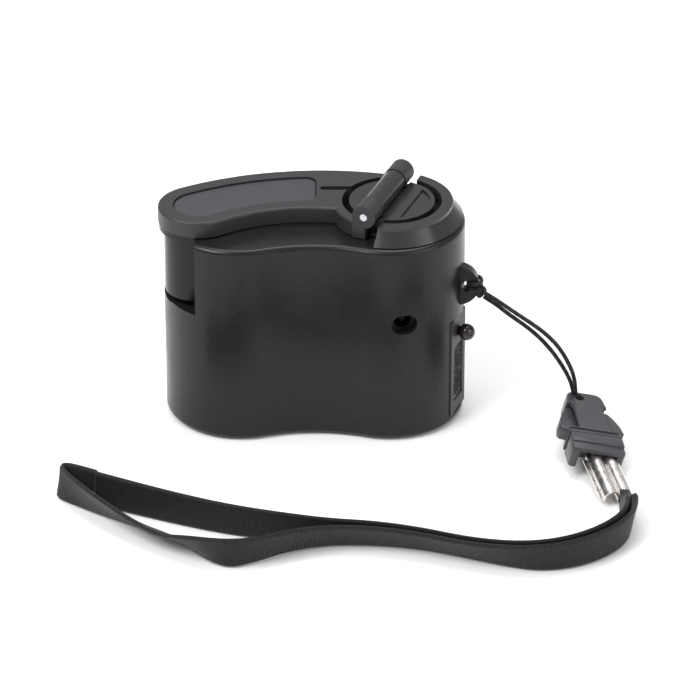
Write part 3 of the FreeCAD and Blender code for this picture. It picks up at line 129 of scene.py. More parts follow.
def moulded(name, dark, light, roughness, grain_mm, grain_depth, wave_depth=0.0,
            spread=0.06, ior=1.5, shine=0.5):
    """Moulded plastic: fine grain, faint sink waves and a mottled shine."""
    material, shader = finish_of(name, roughness, IOR=ior, Specular_IOR_Level=shine)
    place = add(material, "ShaderNodeTexCoord").outputs["Object"]
    cloud = add(material, "ShaderNodeTexNoise", {}, {
        "Vector": place, "Scale": 1 / (CLOUD_MM * MM), "Detail": 4.0})
    tint = add(material, "ShaderNodeMix", {"data_type": "RGBA"},
               {"Factor": cloud.outputs["Fac"], "A": linear(dark), "B": linear(light)})
    plug(material, tint.outputs["Result"], shader, "Base Color")
    gloss = add(material, "ShaderNodeMapRange", {}, {
        "Value": cloud.outputs["Fac"], "From Min": 0.3, "From Max": 0.7,
        "To Min": roughness - spread, "To Max": roughness + spread})
    plug(material, gloss.outputs["Result"], shader, "Roughness")
    grain = add(material, "ShaderNodeTexNoise", {}, {
        "Vector": place, "Scale": 1 / (grain_mm * MM), "Detail": 3.0})
    bump = add(material, "ShaderNodeBump", {}, {
        "Height": grain.outputs["Fac"], "Strength": grain_depth, "Distance": GRAIN_HEIGHT_MM * MM})
    last = bump
    if wave_depth:
        wave = add(material, "ShaderNodeTexNoise", {}, {
            "Vector": place, "Scale": 1 / (WAVE_MM * MM), "Detail": 1.0})
        last = add(material, "ShaderNodeBump", {}, {
            "Height": wave.outputs["Fac"], "Strength": wave_depth, "Distance": WAVE_HEIGHT_MM * MM,
            "Normal": bump.outputs["Normal"]})
    plug(material, last.outputs["Normal"], shader, "Normal")
    return material


# %% Plastics that are seen from outside
# The shell has a satin skin: broad soft highlights that waver a little.
housing_abs = moulded("moulded ABS satin black", "#191819", "#1e1d1f", roughness=0.27, grain_mm=0.35,
                      grain_depth=0.12, wave_depth=0.10, spread=0.04, shine=0.26)
# The turret is glossier, so its collar carries thin bright lines.
hub_abs = moulded("moulded ABS glossy black", "#252426", "#2a292b", roughness=0.20, grain_mm=0.6,
                  grain_depth=0.06, wave_depth=0.10, spread=0.03, shine=0.45)
# The arm is matt and reads as charcoal, and its inlay is one step lighter.
arm_abs = moulded("moulded ABS matt charcoal", "#28272a", "#2e2d30", roughness=0.44, grain_mm=0.3,
                  grain_depth=0.45, shine=0.4)
panel_abs = moulded("moulded ABS matt grey inlay", "#363539", "#3c3b3f", roughness=0.46, grain_mm=0.3,
                    grain_depth=0.45, shine=0.4)
# The knob comes from a polished tool and is rubbed by fingers, so it mirrors what is round it.
knob_abs = moulded("moulded ABS polished black", "#0f0e10", "#131214", roughness=0.12, grain_mm=0.8,
                   grain_depth=0.05, wave_depth=0.08, spread=0.03, shine=0.26)
# The strip round the phone socket is dull grey black.
port_abs = moulded("moulded ABS matt grey black", "#2a292c", "#333235", roughness=0.5, grain_mm=0.3,
                   grain_depth=0.4)
# Acetal is slippery and slightly waxy, which softens the buckle's edges of light.
buckle_acetal = moulded("moulded acetal charcoal", "#39373b", "#424044", roughness=0.30, grain_mm=0.3,
                        grain_depth=0.20, wave_depth=0.10, spread=0.05, ior=1.48)
# The lamp is cast in a dark smoky epoxy, smooth as glass, with one small glint.
led_epoxy = moulded("tinted cast epoxy", "#1a1214", "#21181a", roughness=0.06, grain_mm=1.0,
                    grain_depth=0.02, spread=0.01, ior=1.55)

# %% Plastics and ceramics of the inner parts
# Nylon insulates the sockets and looks dead black.
black_nylon = moulded("moulded nylon black", "#0b0b0c", "#101011", roughness=0.5, grain_mm=0.3,
                      grain_depth=0.3)
# Uncoloured acetal gears are creamy white.
white_acetal = moulded("moulded acetal natural white", "#dcd9cf", "#e8e5dc", roughness=0.38,
                       grain_mm=0.4, grain_depth=0.2, wave_depth=0.1, spread=0.05, ior=1.48)
# Chips and diodes are pressed in a dull, sandy epoxy.
epoxy_black = moulded("moulded epoxy", "#111113", "#17171a", roughness=0.55, grain_mm=0.15,
                      grain_depth=0.5)
# The rotor's magnet is a ceramic, rough and dark grey.
ferrite = moulded("sintered ferrite", "#2a2a2c", "#343437", roughness=0.6, grain_mm=0.2,
                  grain_depth=0.6)
# The board has a green lacquer over a cloth of glass.
board_mask = moulded("solder mask on glass fibre", "#1d5a33", "#257040", roughness=0.35, grain_mm=0.5,
                     grain_depth=0.3)

# %% [markdown]
# ## Metals
# A lathe leaves fine rings round a shaft, plated sheet is smooth and bright, bronze
# bushes are sintered and a little rough, and copper wire is shiny. All of them share one
# function: a noise that is squeezed along the upright axis turns into rings or layers,
# and an even one stays a fine mottle.

# %% Metals
MARK_HEIGHT_MM = 0.03
MARK_SPREAD = 0.3
EVEN = (1.0, 1.0, 1.0)
TURNED = (1.0, 1.0, 12.0)
WOUND = (1.0, 1.0, 25.0)
LAYERED = (1.0, 1.0, 30.0)


def metal(name, dark, light, roughness, mark_mm, mark_depth, squeeze):
    """Metal with fine marks, squeezed along the upright axis."""
    material, shader = finish_of(name, roughness, 1.0)
    place = add(material, "ShaderNodeTexCoord").outputs["Object"]
    drawn = add(material, "ShaderNodeMapping", {}, {"Vector": place, "Scale": squeeze})
    marks = add(material, "ShaderNodeTexNoise", {}, {
        "Vector": drawn.outputs["Vector"], "Scale": 1 / (mark_mm * MM), "Detail": 4.0})
    tint = add(material, "ShaderNodeMix", {"data_type": "RGBA"},
               {"Factor": marks.outputs["Fac"], "A": linear(dark), "B": linear(light)})
    plug(material, tint.outputs["Result"], shader, "Base Color")
    shine = add(material, "ShaderNodeMapRange", {}, {
        "Value": marks.outputs["Fac"], "From Min": 0.3, "From Max": 0.7,
        "To Min": roughness * (1 - MARK_SPREAD), "To Max": roughness * (1 + MARK_SPREAD)})
    plug(material, shine.outputs["Result"], shader, "Roughness")
    bump = add(material, "ShaderNodeBump", {}, {
        "Height": marks.outputs["Fac"], "Strength": mark_depth, "Distance": MARK_HEIGHT_MM * MM})
    plug(material, bump.outputs["Normal"], shader, "Normal")
    return material


# Pins and shafts are ground: bright, with fine rings.
ground_steel = metal("ground steel", "#b9b9bd", "#d4d4d8", 0.25, 1.2, 0.3, TURNED)
# Zinc on screws and on the can is bluish grey and a little cloudy.
zinc_steel = metal("zinc plated steel", "#a7a9ad", "#c6c8cc", 0.33, 0.9, 0.3, EVEN)
# Nickel on the clamp and the socket's shell is nearly white and very smooth.
satin_nickel = metal("satin nickel plating", "#e2dedb", "#f1edea", 0.27, 2.0, 0.03, EVEN)
# Sintered bronze is porous, so its gold brown stays dull.
sintered_bronze = metal("sintered bronze", "#a07c46", "#b8935a", 0.42, 0.3, 0.6, EVEN)
# A flash of gold keeps the contacts yellow.
gold_brass = metal("gold flashed brass", "#cda04e", "#e3bc6b", 0.22, 0.6, 0.2, TURNED)
# The stator is a stack of stamped sheets, seen as dark grey layers.
stamped_iron = metal("stamped iron", "#6d6d70", "#8a8a8d", 0.45, 0.35, 0.7, LAYERED)
# Copper wire under clear enamel is red and shiny, turn upon turn.
copper_wire = metal("enamelled copper wire", "#a8542a", "#c9703c", 0.25, 0.3, 0.8, WOUND)
# The capacitor's can is drawn aluminium, pale and soft.
drawn_aluminium = metal("drawn aluminium", "#b4b5b8", "#cfd0d3", 0.3, 0.8, 0.3, TURNED)
# Black oxide leaves the jack's pin almost as dark as its hole.
black_oxide = metal("black oxide steel", "#1c1c1e", "#2a2a2c", 0.5, 0.8, 0.3, TURNED)

# %% Give every carried-over node its finish
FINISHES = {
    housing_abs: ["housing", "base_cover"],
    hub_abs: ["crank_hub"],
    arm_abs: ["crank_arm"],
    panel_abs: ["arm_panel"],
    knob_abs: ["knob"],
    port_abs: ["port_panel"],
    black_nylon: ["usb_tongue", "output_jack"],
    white_acetal: ["drive_gear", "idler_gear", "step_gear", "rotor_pinion", "gear_plate"],
    epoxy_black: ["regulator_chip", "diodes"],
    ferrite: ["rotor_magnet"],
    board_mask: ["circuit_board"],
    led_epoxy: ["indicator_led"],
    ground_steel: ["hub_shaft", "hinge_pin", "knob_pin", "idler_pin", "step_pin", "rotor_shaft"],
    zinc_steel: ["hub_screw", "knob_screw", "base_screws", "plate_screws", "generator_can"],
    satin_nickel: ["usb_shell"],
    sintered_bronze: ["hub_bush", "lower_bush", "upper_bush"],
    gold_brass: ["usb_contacts"],
    black_oxide: ["jack_pin"],
    stamped_iron: ["stator_core"],
    copper_wire: ["stator_coil"],
    drawn_aluminium: ["capacitor"],
}
for material, names in FINISHES.items():
    for name in names:
        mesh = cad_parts[name].data
        mesh.materials.clear()
        mesh.materials.append(material)
print("finished", sum(len(names) for names in FINISHES.values()), "nodes")

# %% [markdown]
# ## The cord
# A thin braided polyester cord runs doubled from the eye at the box's right end to the
# buckle. It is 0.84 mm thick and limp, and the two strands hang side by side. Each is a
# smooth spline, so it bends like cord and not like wire.

# %% Curves
def only(made):
    """Selects one object alone and makes it the active one."""
    bpy.ops.object.select_all(action="DESELECT")
    made.select_set(True)
    bpy.context.view_layer.objects.active = made
    return made


def spline(name, points, radius_mm=0.0):
    """A smooth open curve through a list of places in millimetres."""
    curve = bpy.data.curves.new(name, "CURVE")
    curve.dimensions = "3D"
    curve.resolution_u = 12
    curve.bevel_depth = radius_mm * MM
    curve.bevel_resolution = 4
    curve.use_fill_caps = radius_mm > 0
    line = curve.splines.new("NURBS")
    line.points.add(len(points) - 1)
    for point, place in zip(line.points, points):
        point.co = (*[value * MM for value in place], 1.0)
    line.order_u = 3
    line.use_endpoint_u = True
    made = bpy.data.objects.new(name, curve)
    bpy.context.collection.objects.link(made)
    return made

# %% [markdown]
# Braided polyester is matt with a fine diamond relief, where the yarns cross over each
# other. Two waves that cross at an angle give the diamonds. The real ones are about half
# a millimetre long. They are drawn twice as coarse, so that they show.

# %% Braided polyester
BRAID_MM = 1.0
BRAID_HEIGHT_MM = 0.12
BRAID_TURN = 35.0
# a wave texture of scale 1 repeats about every 0.31 units
WAVE_UNIT = 0.31


def braided(name):
    """Braided polyester: a fine diamond relief from two crossed waves, with painted shade in its
    hollows.
    """
    material, shader = finish_of(name, 0.6, IOR=1.5, Specular_IOR_Level=0.3)
    shader.inputs["Sheen Weight"].default_value = 0.15
    shader.inputs["Sheen Roughness"].default_value = 0.4
    place = add(material, "ShaderNodeTexCoord").outputs["Object"]
    heights = []
    for turn in (BRAID_TURN, -BRAID_TURN):
        leant = add(material, "ShaderNodeMapping", {}, {
            "Vector": place, "Rotation": (0.0, math.radians(turn), math.radians(turn))})
        wave = add(material, "ShaderNodeTexWave", {"wave_profile": "SIN"}, {
            "Vector": leant.outputs["Vector"], "Scale": WAVE_UNIT / (BRAID_MM * MM),
            "Distortion": 0.4, "Detail": 1.0})
        heights.append(wave.outputs["Fac"])
    cross = add(material, "ShaderNodeMath", {"operation": "MULTIPLY"}, {0: heights[0], 1: heights[1]})
    # The colour follows the relief, darker in the hollows and lighter on the crests: painted shade
    # and painted highlight.
    tint = add(material, "ShaderNodeMix", {"data_type": "RGBA"}, {
        "Factor": cross.outputs[0], "A": linear("#0c0b0d"), "B": linear("#242226")})
    plug(material, tint.outputs["Result"], shader, "Base Color")
    bump = add(material, "ShaderNodeBump", {}, {
        "Height": cross.outputs[0], "Strength": 0.8, "Distance": BRAID_HEIGHT_MM * MM})
    plug(material, bump.outputs["Normal"], shader, "Normal")
    return material


cord_braid = braided("braided polyester")

# %% Both strands of the cord
CORD_RADIUS = 0.42
# the inner strand is 28.3 mm long, and no cord is declared shorter than 30 mm
CORD_OUTER = [
    (33.9, -5.8, 28.8), (36.0, -6.4, 27.7), (39.1, -7.4, 25.8), (42.4, -8.8, 24.1),
    (45.4, -10.0, 22.4), (48.1, -11.0, 20.1), (50.1, -11.5, 17.1), (51.5, -11.6, 13.9),
    (52.1, -11.4, 11.0), (52.2, -11.0, 8.6),
]
CORD_INNER = [
    (33.7, -5.5, 27.8), (35.8, -5.8, 26.5), (38.9, -6.8, 24.3), (41.9, -8.1, 22.7),
    (44.6, -9.0, 20.7), (47.2, -9.8, 18.0), (49.2, -10.3, 15.1), (50.7, -10.6, 12.4),
    (51.5, -10.7, 10.2), (51.8, -10.6, 8.3),
]
for name, route in (("cord_outer", CORD_OUTER), ("cord_inner", CORD_INNER)):
    strand = spline(f"{name}_strand", route, CORD_RADIUS)
    strand.data.materials.append(cord_braid)
    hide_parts(name)
    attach(strand, "root")
    print(strand.name, len(route), "points")

# %% [markdown]
# ## The strap
# The wrist loop is a 7 mm polyester webbing, woven flat with a firm edge on both sides.
# It stands on its edge on the table and leans and twists as it goes, so it is drawn as
# a ribbon whose section is carried along a spline and leant over by a chosen angle.
# Where it comes out of the metal clamp it is gathered to less than half its width.

# %% Rings along a route
def samples(route):
    """Places along the smooth spline of a route, in metres, read off its curve."""
    line = spline("route_for_reading", route)
    line.data.resolution_u = 24
    mesh = bpy.data.meshes.new_from_object(line)
    places = [v.co.copy() for v in mesh.vertices]
    bpy.data.objects.remove(line)
    bpy.data.meshes.remove(mesh)
    return places


def evenly(places, step):
    """The same line with rings at an even spacing, and its length."""
    marks, total = [0.0], 0.0
    for a, b in zip(places, places[1:]):
        total += (b - a).to_2d().length
        marks.append(total)
    count = max(2, round(total / step))
    out, n = [], 0
    for i in range(count + 1):
        want = total * i / count
        while n < len(places) - 2 and marks[n + 1] < want:
            n += 1
        part = (want - marks[n]) / max(marks[n + 1] - marks[n], 1e-9)
        out.append(places[n].lerp(places[n + 1], min(max(part, 0.0), 1.0)))
    return out, total


def eased(part):
    """A number from 0 to 1 that starts and ends gently."""
    part = min(max(part, 0.0), 1.0)
    return part * part * (3 - 2 * part)

# %% [markdown]
# Across the webbing, the faces are flat with a slightly hollow middle, and the woven
# edges are round and firm. The ribs are real geometry: each swells the band a little,
# so two rings of points go to every rib.

# %% The section across the webbing
STRAP_WIDE = 7.2
STRAP_THICK = 0.9
GATHERED_WIDE = 2.7
GATHERED_THICK = 1.5
GATHER_START_MM = 2.0
GATHER_MM = 8.0
RIB_MM = 0.55
RIB_SWELL = 0.09
RING_MM = RIB_MM / 2
EDGE_PART, TURN_PART = 0.07, 0.13
EDGE_THICK, MIDDLE_THICK = 0.95, 0.9


def webbing_section(wide, thick):
    """The outline across the webbing, anticlockwise from its lower right turn."""
    half, t = wide / 2, thick / 2
    edge, turn = EDGE_PART * wide, TURN_PART * wide
    right = [(half - turn, -t), (half - edge, -EDGE_THICK * t), (half, 0.0),
             (half - edge, EDGE_THICK * t), (half - turn, t)]
    left = [(-a, -b) for a, b in right]
    return [*right, (0.0, MIDDLE_THICK * t), *left, (0.0, -MIDDLE_THICK * t)]


FLAT_SECTION = webbing_section(STRAP_WIDE, STRAP_THICK)


def ring_at(places, i):
    """One ring of the ribbon: the middle of the band, and the section's points round it."""
    here = places[i]
    ahead = (places[min(i + 1, len(places) - 1)] - places[max(i - 1, 0)]).to_2d().normalized()
    side = Vector((-ahead.y, ahead.x, 0.0))
    angle = math.radians(here.z / MM)
    opened = eased((i * RING_MM - GATHER_START_MM) / GATHER_MM)
    wide_mm = GATHERED_WIDE + (STRAP_WIDE - GATHERED_WIDE) * opened
    thick_mm = GATHERED_THICK + (STRAP_THICK - GATHERED_THICK) * opened
    across = Vector((0, 0, math.cos(angle))) + side * math.sin(angle)
    through = side * math.cos(angle) - Vector((0, 0, math.sin(angle)))
    rise = wide_mm / 2 * abs(math.cos(angle)) + thick_mm / 2 * abs(math.sin(angle))
    middle = Vector((here.x, here.y, rise * MM))
    swell = 1 + RIB_SWELL * math.cos(2 * math.pi * i * RING_MM / RIB_MM)
    section = webbing_section(wide_mm, thick_mm * swell)
    return middle, [middle + (across * a + through * b) * MM for a, b in section]

# %% The ribbon
def skin_of_rings(name, points, size):
    """Joins rings of points into a closed band with a flat UV map in millimetres."""
    rings = len(points) // size
    faces = []
    for low in range(0, size * (rings - 1), size):
        for c in range(size):
            after = (c + 1) % size
            faces.append((low + c, low + after, low + size + after, low + size + c))
    faces += [tuple(reversed(range(size))), tuple(range(size * (rings - 1), size * rings))]
    mesh = bpy.data.meshes.new(name)
    mesh.from_pydata(points, [], faces)
    layer = mesh.uv_layers.new(name="UVMap")
    for face in mesh.polygons:
        face.use_smooth = len(face.vertices) == 4
        for loop in face.loop_indices:
            ring, corner = divmod(mesh.loops[loop].vertex_index, size)
            layer.data[loop].uv = (ring * RING_MM, FLAT_SECTION[corner][0])
    return mesh


def ribbon(name, route, leans):
    """Webbing along a flat route; each point's lean is the angle from upright, in degrees."""
    # the spline's third coordinate carries the lean, so that it eases along with the route
    leaning = [(x, y, lean) for (x, y), lean in zip(route, leans)]
    places, total = evenly(samples(leaning), RING_MM * MM)
    points, centres = [], []
    for i in range(len(places)):
        middle, ring = ring_at(places, i)
        centres.append(middle)
        points += ring
    made = bpy.data.objects.new(name, skin_of_rings(name, points, len(FLAT_SECTION)))
    bpy.context.collection.objects.link(made)
    only(made)
    bpy.ops.object.mode_set(mode="EDIT")
    bpy.ops.mesh.select_all(action="SELECT")
    bpy.ops.mesh.normals_make_consistent(inside=False)
    bpy.ops.object.mode_set(mode="OBJECT")
    print(name, "length", round(total / MM, 1), "mm")
    return made, centres

# %% [markdown]
# In the weave, threads across the band lie as fine ribs and threads along it as rows.
# Each row pushes the ribs a little to the side, which gives the small chevrons of such
# webbing. The pattern follows the band, so it is drawn on the band's own UV map.

# %% Woven webbing
ROW_MM = 0.5
ROW_SHIFT = 0.9
ROW_RELIEF = 0.35
RELIEF_SPAN = 1.3
WEAVE_HEIGHT_MM = 0.06


def woven(name):
    """Woven webbing: ribs across, rows along, painted shade in the grooves and a slightly fuzzy
    colour.
    """
    material, shader = finish_of(name, 0.65, IOR=1.5, Specular_IOR_Level=0.3)
    shader.inputs["Sheen Weight"].default_value = 0.2
    shader.inputs["Sheen Roughness"].default_value = 0.35
    uv = add(material, "ShaderNodeTexCoord").outputs["UV"]
    split = add(material, "ShaderNodeSeparateXYZ", {}, {"Vector": uv})
    ribs = add(material, "ShaderNodeMath", {"operation": "MULTIPLY"}, {
        0: split.outputs["X"], 1: 2 * math.pi / RIB_MM})
    rows = add(material, "ShaderNodeMath", {"operation": "MULTIPLY"}, {
        0: split.outputs["Y"], 1: 2 * math.pi / ROW_MM})
    row_wave = add(material, "ShaderNodeMath", {"operation": "SINE"}, {0: rows.outputs[0]})
    shifted = add(material, "ShaderNodeMath", {"operation": "MULTIPLY_ADD"}, {
        0: row_wave.outputs[0], 1: ROW_SHIFT, 2: ribs.outputs[0]})
    rib_wave = add(material, "ShaderNodeMath", {"operation": "SINE"}, {0: shifted.outputs[0]})
    relief = add(material, "ShaderNodeMath", {"operation": "MULTIPLY_ADD"}, {
        0: row_wave.outputs[0], 1: ROW_RELIEF, 2: rib_wave.outputs[0]})
    fuzz = add(material, "ShaderNodeTexNoise", {}, {"Vector": uv, "Scale": 6.0, "Detail": 5.0})
    # The colour follows the relief, darker in the grooves and lighter on the ribs: painted shade and
    # painted highlight.
    painted_shading = add(material, "ShaderNodeMapRange", {}, {
        "Value": relief.outputs[0], "From Min": -RELIEF_SPAN, "From Max": RELIEF_SPAN,
        "To Min": 0.0, "To Max": 1.0})
    tint = add(material, "ShaderNodeMix", {"data_type": "RGBA"}, {
        "Factor": painted_shading.outputs["Result"], "A": linear("#08080a"), "B": linear("#1d1c1f")})
    worn = add(material, "ShaderNodeMix", {"data_type": "RGBA", "blend_type": "OVERLAY"}, {
        "Factor": 0.35, "A": tint.outputs["Result"], "B": fuzz.outputs["Color"]})
    plug(material, worn.outputs["Result"], shader, "Base Color")
    bump = add(material, "ShaderNodeBump", {}, {
        "Height": relief.outputs[0], "Strength": 0.7, "Distance": WEAVE_HEIGHT_MM * MM})
    plug(material, bump.outputs["Normal"], shader, "Normal")
    return material


webbing = woven("woven polyester webbing")

# %% [markdown]
# Both runs of the loop start in the clamp and go side by side through the long front
# curve. The front run bulges forward once more on the left and leans over as it turns
# back. At the far left it folds round and meets the end of the back run. The routes are
# chosen one by one, because a limp strap lies as it falls.

# %% Both runs of the strap
STRAP_FRONT = [
    (60.9, -37.4), (61.8, -43.0), (61.9, -48.5), (60.6, -53.8), (56.5, -58.8), (50.5, -62.6),
    (43.5, -64.3), (36.5, -63.2), (29.0, -60.6), (21.0, -57.6), (12.3, -55.9), (3.0, -55.7),
    (-4.7, -58.0), (-10.7, -61.4), (-16.3, -63.0), (-21.6, -60.4), (-27.7, -55.0), (-35.3, -49.6),
    (-42.0, -44.6), (-46.9, -39.8), (-49.2, -37.2), (-49.7, -35.9), (-48.8, -35.6), (-46.5, -36.5),
    (-42.5, -38.6),
]
FRONT_LEANS = [
    0, 10, 12, 8, 6, 8, 14, 27, 35, 34, 30, 27, 22, 16, 6, 26, 60, 46, 24, 6, -8, -10, 10, 14, 12,
]
STRAP_BACK = [
    (60.6, -37.7), (60.5, -43.3), (60.2, -48.6), (58.9, -53.0), (55.2, -57.4), (49.9, -60.9),
    (43.6, -62.6), (37.0, -61.5), (29.6, -58.9), (21.6, -55.9), (12.4, -54.2), (2.6, -54.0),
    (-7.2, -52.9), (-17.0, -50.2), (-27.7, -45.9), (-37.0, -41.6), (-42.6, -38.9),
]
BACK_LEANS = [0, 10, 12, 8, 6, 8, 14, 27, 35, 34, 28, 20, 6, 2, -2, -6, -9]
RUNS = (("strap_front", STRAP_FRONT, FRONT_LEANS), ("strap_back", STRAP_BACK, BACK_LEANS))
for name, route, leans in RUNS:
    band, centres = ribbon(f"{name}_webbing", route, leans)
    band.data.materials.append(webbing)
    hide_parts(name)
    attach(band, "root")

# %% [markdown]
# ## The knot on the eye
# The cord goes twice through the lug's hole and round its outer rim, and ends in a tight
# knot. The wraps are closed loops of the same cord, and the knot is a trefoil, the curve
# that an overhand knot makes when it is pulled tight, written as a formula.

# %% The wraps round the eye
EYE_HOLE = Vector((30.6, -4.0, 30.0))
EYE_RIM_X = 33.25
WRAP_SIDE = 1.78
WRAP_RISE = 0.66
WRAP_CORNER = 0.8
HOLE_CORNER = 0.6


def loop_of_cord(name, points):
    """A closed loop of cord through a list of places in millimetres, as a mesh."""
    made = spline(name, [tuple(p) for p in points], CORD_RADIUS)
    made.data.splines[0].use_endpoint_u = False
    made.data.splines[0].use_cyclic_u = True
    only(made)
    bpy.ops.object.convert(target="MESH")
    return bpy.context.object


loops = []
near, far = EYE_HOLE.x, EYE_RIM_X
flat = WRAP_SIDE - WRAP_CORNER
wrap = [(near, -flat), (near, flat), (near + HOLE_CORNER, WRAP_SIDE), (far - WRAP_CORNER, WRAP_SIDE),
        (far, flat), (far, -flat), (far - WRAP_CORNER, -WRAP_SIDE), (near + HOLE_CORNER, -WRAP_SIDE)]
for n, rise in enumerate((WRAP_RISE, -WRAP_RISE)):
    places = [(x, EYE_HOLE.y + y, EYE_HOLE.z + rise) for x, y in wrap]
    loops.append(loop_of_cord(f"eye_wrap_{n}", places))

# %% The tight knot
KNOT_MIDDLE = Vector((33.0, -5.55, 28.95))
KNOT_UNIT = 0.33
KNOT_POINTS = 24
KNOT_DEPTH = 1.3
trefoil = []
for n in range(KNOT_POINTS):
    t = 2 * math.pi * n / KNOT_POINTS
    curl = Vector((math.sin(t) + 2 * math.sin(2 * t), -KNOT_DEPTH * math.sin(3 * t),
                   math.cos(t) - 2 * math.cos(2 * t)))
    trefoil.append(KNOT_MIDDLE + curl * KNOT_UNIT)
loops.append(loop_of_cord("tight_knot", trefoil))
bpy.ops.object.select_all(action="DESELECT")
for made in loops:
    made.select_set(True)
bpy.context.view_layer.objects.active = loops[0]
bpy.ops.object.join()
knot = bpy.context.object
knot.name = "knot_on_eye"
knot.data.materials.clear()
knot.data.materials.append(cord_braid)
bpy.ops.object.shade_smooth()
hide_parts("cord_knot")
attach(knot, "root")
print(knot.name, len(knot.data.polygons), "faces")

# %% [markdown]
# ## The buckle
# The side-release buckle is moulded acetal: a tapered socket whose side windows show the
# two springy prongs of the plug. It is modelled as by hand: a box is tapered, its corners
# are rounded, the windows and the throat are cut, and at the end every sharp edge gets a
# small round, as a mould leaves it. All of it is drawn level at the origin, in
# millimetres, and then laid down in the place where the real one lies.

# %% Where the buckle lies
BUCKLE_AT = Vector((55.2, -23.3, 4.25))
BUCKLE_YAW, BUCKLE_ROLL, BUCKLE_PITCH = 9.0, 15.0, 5.0


def turned(yaw, roll, pitch):
    """A turn about X, then Y, then Z, in degrees."""
    turn = Matrix.Rotation(math.radians(yaw), 4, "Z")
    turn = turn @ Matrix.Rotation(math.radians(roll), 4, "Y")
    return turn @ Matrix.Rotation(math.radians(pitch), 4, "X")


BUCKLE_PLACE = Matrix.Translation(BUCKLE_AT * MM) @ turned(BUCKLE_YAW, BUCKLE_ROLL, BUCKLE_PITCH)

# %% Boxes and flat forms
def box(name, x, y, z):
    """A box from low to high in millimetres, with its place in its mesh."""
    spans = (x, y, z)
    middle = [(a + b) / 2 * MM for a, b in spans]
    size = [(b - a) * MM for a, b in spans]
    bpy.ops.mesh.primitive_cube_add(size=1.0, location=middle, scale=size)
    made = bpy.context.object
    made.name = name
    bpy.ops.object.transform_apply(location=True, rotation=True, scale=True)
    return made


def slab(name, outline, half_thick):
    """A flat form of any outline: a filled ring moved to the outline and extruded upwards."""
    bpy.ops.mesh.primitive_circle_add(vertices=len(outline), radius=MM, fill_type="NGON")
    made = bpy.context.object
    made.name = name
    for vertex, (x, y) in zip(made.data.vertices, outline):
        vertex.co = (x * MM, y * MM, -half_thick * MM)
    bpy.ops.object.mode_set(mode="EDIT")
    bpy.ops.mesh.select_all(action="SELECT")
    bpy.ops.mesh.extrude_region_move(TRANSFORM_OT_translate={"value": (0, 0, 2 * half_thick * MM)})
    bpy.ops.mesh.select_all(action="SELECT")
    bpy.ops.mesh.normals_make_consistent(inside=False)
    bpy.ops.object.mode_set(mode="OBJECT")
    return made

# %% Rounding and cutting
SAME_MM = 0.01
SHARP = math.radians(35)


def round_edges(made, test, radius, steps):
    """Bevels the edges whose two ends, in millimetres, both pass a test."""
    only(made)
    bpy.ops.object.mode_set(mode="EDIT")
    bpy.ops.mesh.select_mode(type="EDGE")
    bpy.ops.mesh.select_all(action="DESELECT")
    bpy.ops.object.mode_set(mode="OBJECT")
    for edge in made.data.edges:
        a, b = (made.data.vertices[v].co / MM for v in edge.vertices)
        edge.select = test(a, b)
    bpy.ops.object.mode_set(mode="EDIT")
    bpy.ops.mesh.bevel(offset=radius * MM, segments=steps, affect="EDGES")
    bpy.ops.object.mode_set(mode="OBJECT")
    return made


def carve(made, tool, operation="DIFFERENCE"):
    """Cuts one piece out of another, or joins it on, and removes the tool."""
    only(made)
    change = made.modifiers.new("carve", "BOOLEAN")
    change.operation = operation
    change.solver = "EXACT"
    change.object = tool
    bpy.ops.object.modifier_apply(modifier=change.name)
    bpy.data.objects.remove(tool)
    return made


def soften(made, radius, steps=2):
    """Rounds every sharp edge a little and smooths the faces."""
    only(made)
    change = made.modifiers.new("soften", "BEVEL")
    change.width = radius * MM
    change.segments = steps
    change.limit_method = "ANGLE"
    change.angle_limit = SHARP
    change.use_clamp_overlap = True
    bpy.ops.object.modifier_apply(modifier=change.name)
    bpy.ops.object.shade_smooth_by_angle(angle=SHARP)
    return made


def upright(a, b):
    """An edge that runs up and down."""
    return abs(a.x - b.x) < SAME_MM and abs(a.y - b.y) < SAME_MM


def lying_behind_front(a, b):
    """An edge of the top or bottom face, all but the one along the mouth."""
    return abs(a.z - b.z) < SAME_MM and max(a.y, b.y) > 5 * SAME_MM

# %% [markdown]
# The socket narrows to the rear, where the cord's loop goes through a small hole. Its
# flat top plate stays between the two windows, and a groove sets off the lip of its mouth.

# %% The socket half of the buckle
THICK = 2.5
FRONT_HALF, REAR_HALF, SOCKET_LONG = 5.6, 3.6, 14.4
MOUTH_LONG, MOUTH_TAPER = 1.9, 0.35
SHOULDER_Y, SHOULDER_OUT = 11.0, 0.5
REAR_ROUND, RIM_ROUND, WINDOW_ROUND, MOULD_ROUND = 1.5, 0.5, 0.5, 0.13
socket = slab("buckle_socket", [
    (-FRONT_HALF, 0), (FRONT_HALF, 0), (FRONT_HALF - MOUTH_TAPER, MOUTH_LONG),
    (REAR_HALF + SHOULDER_OUT, SHOULDER_Y), (REAR_HALF, SOCKET_LONG), (-REAR_HALF, SOCKET_LONG),
    (-REAR_HALF - SHOULDER_OUT, SHOULDER_Y), (-FRONT_HALF + MOUTH_TAPER, MOUTH_LONG),
], THICK)
round_edges(socket, lambda a, b: upright(a, b) and a.y > SHOULDER_Y + 1, REAR_ROUND, steps=5)
round_edges(socket, lying_behind_front, RIM_ROUND, steps=3)

# %% Windows, throat, groove and hole
WINDOW = (1.7, 10.2)
WINDOW_SIDE = 3.1
WINDOW_REACH = 3
THROAT_HALF, WALL = 4.75, 0.95
THROAT_PAST_WINDOW = 0.4
LIP_GROOVE, GROOVE_HALF_DEEP = (0.75, 1.45), 0.5
HOLE_RADIUS, HOLE_LONG, HOLE_X, HOLE_FROM_REAR = 1.05, 9, -1.3, 2.0
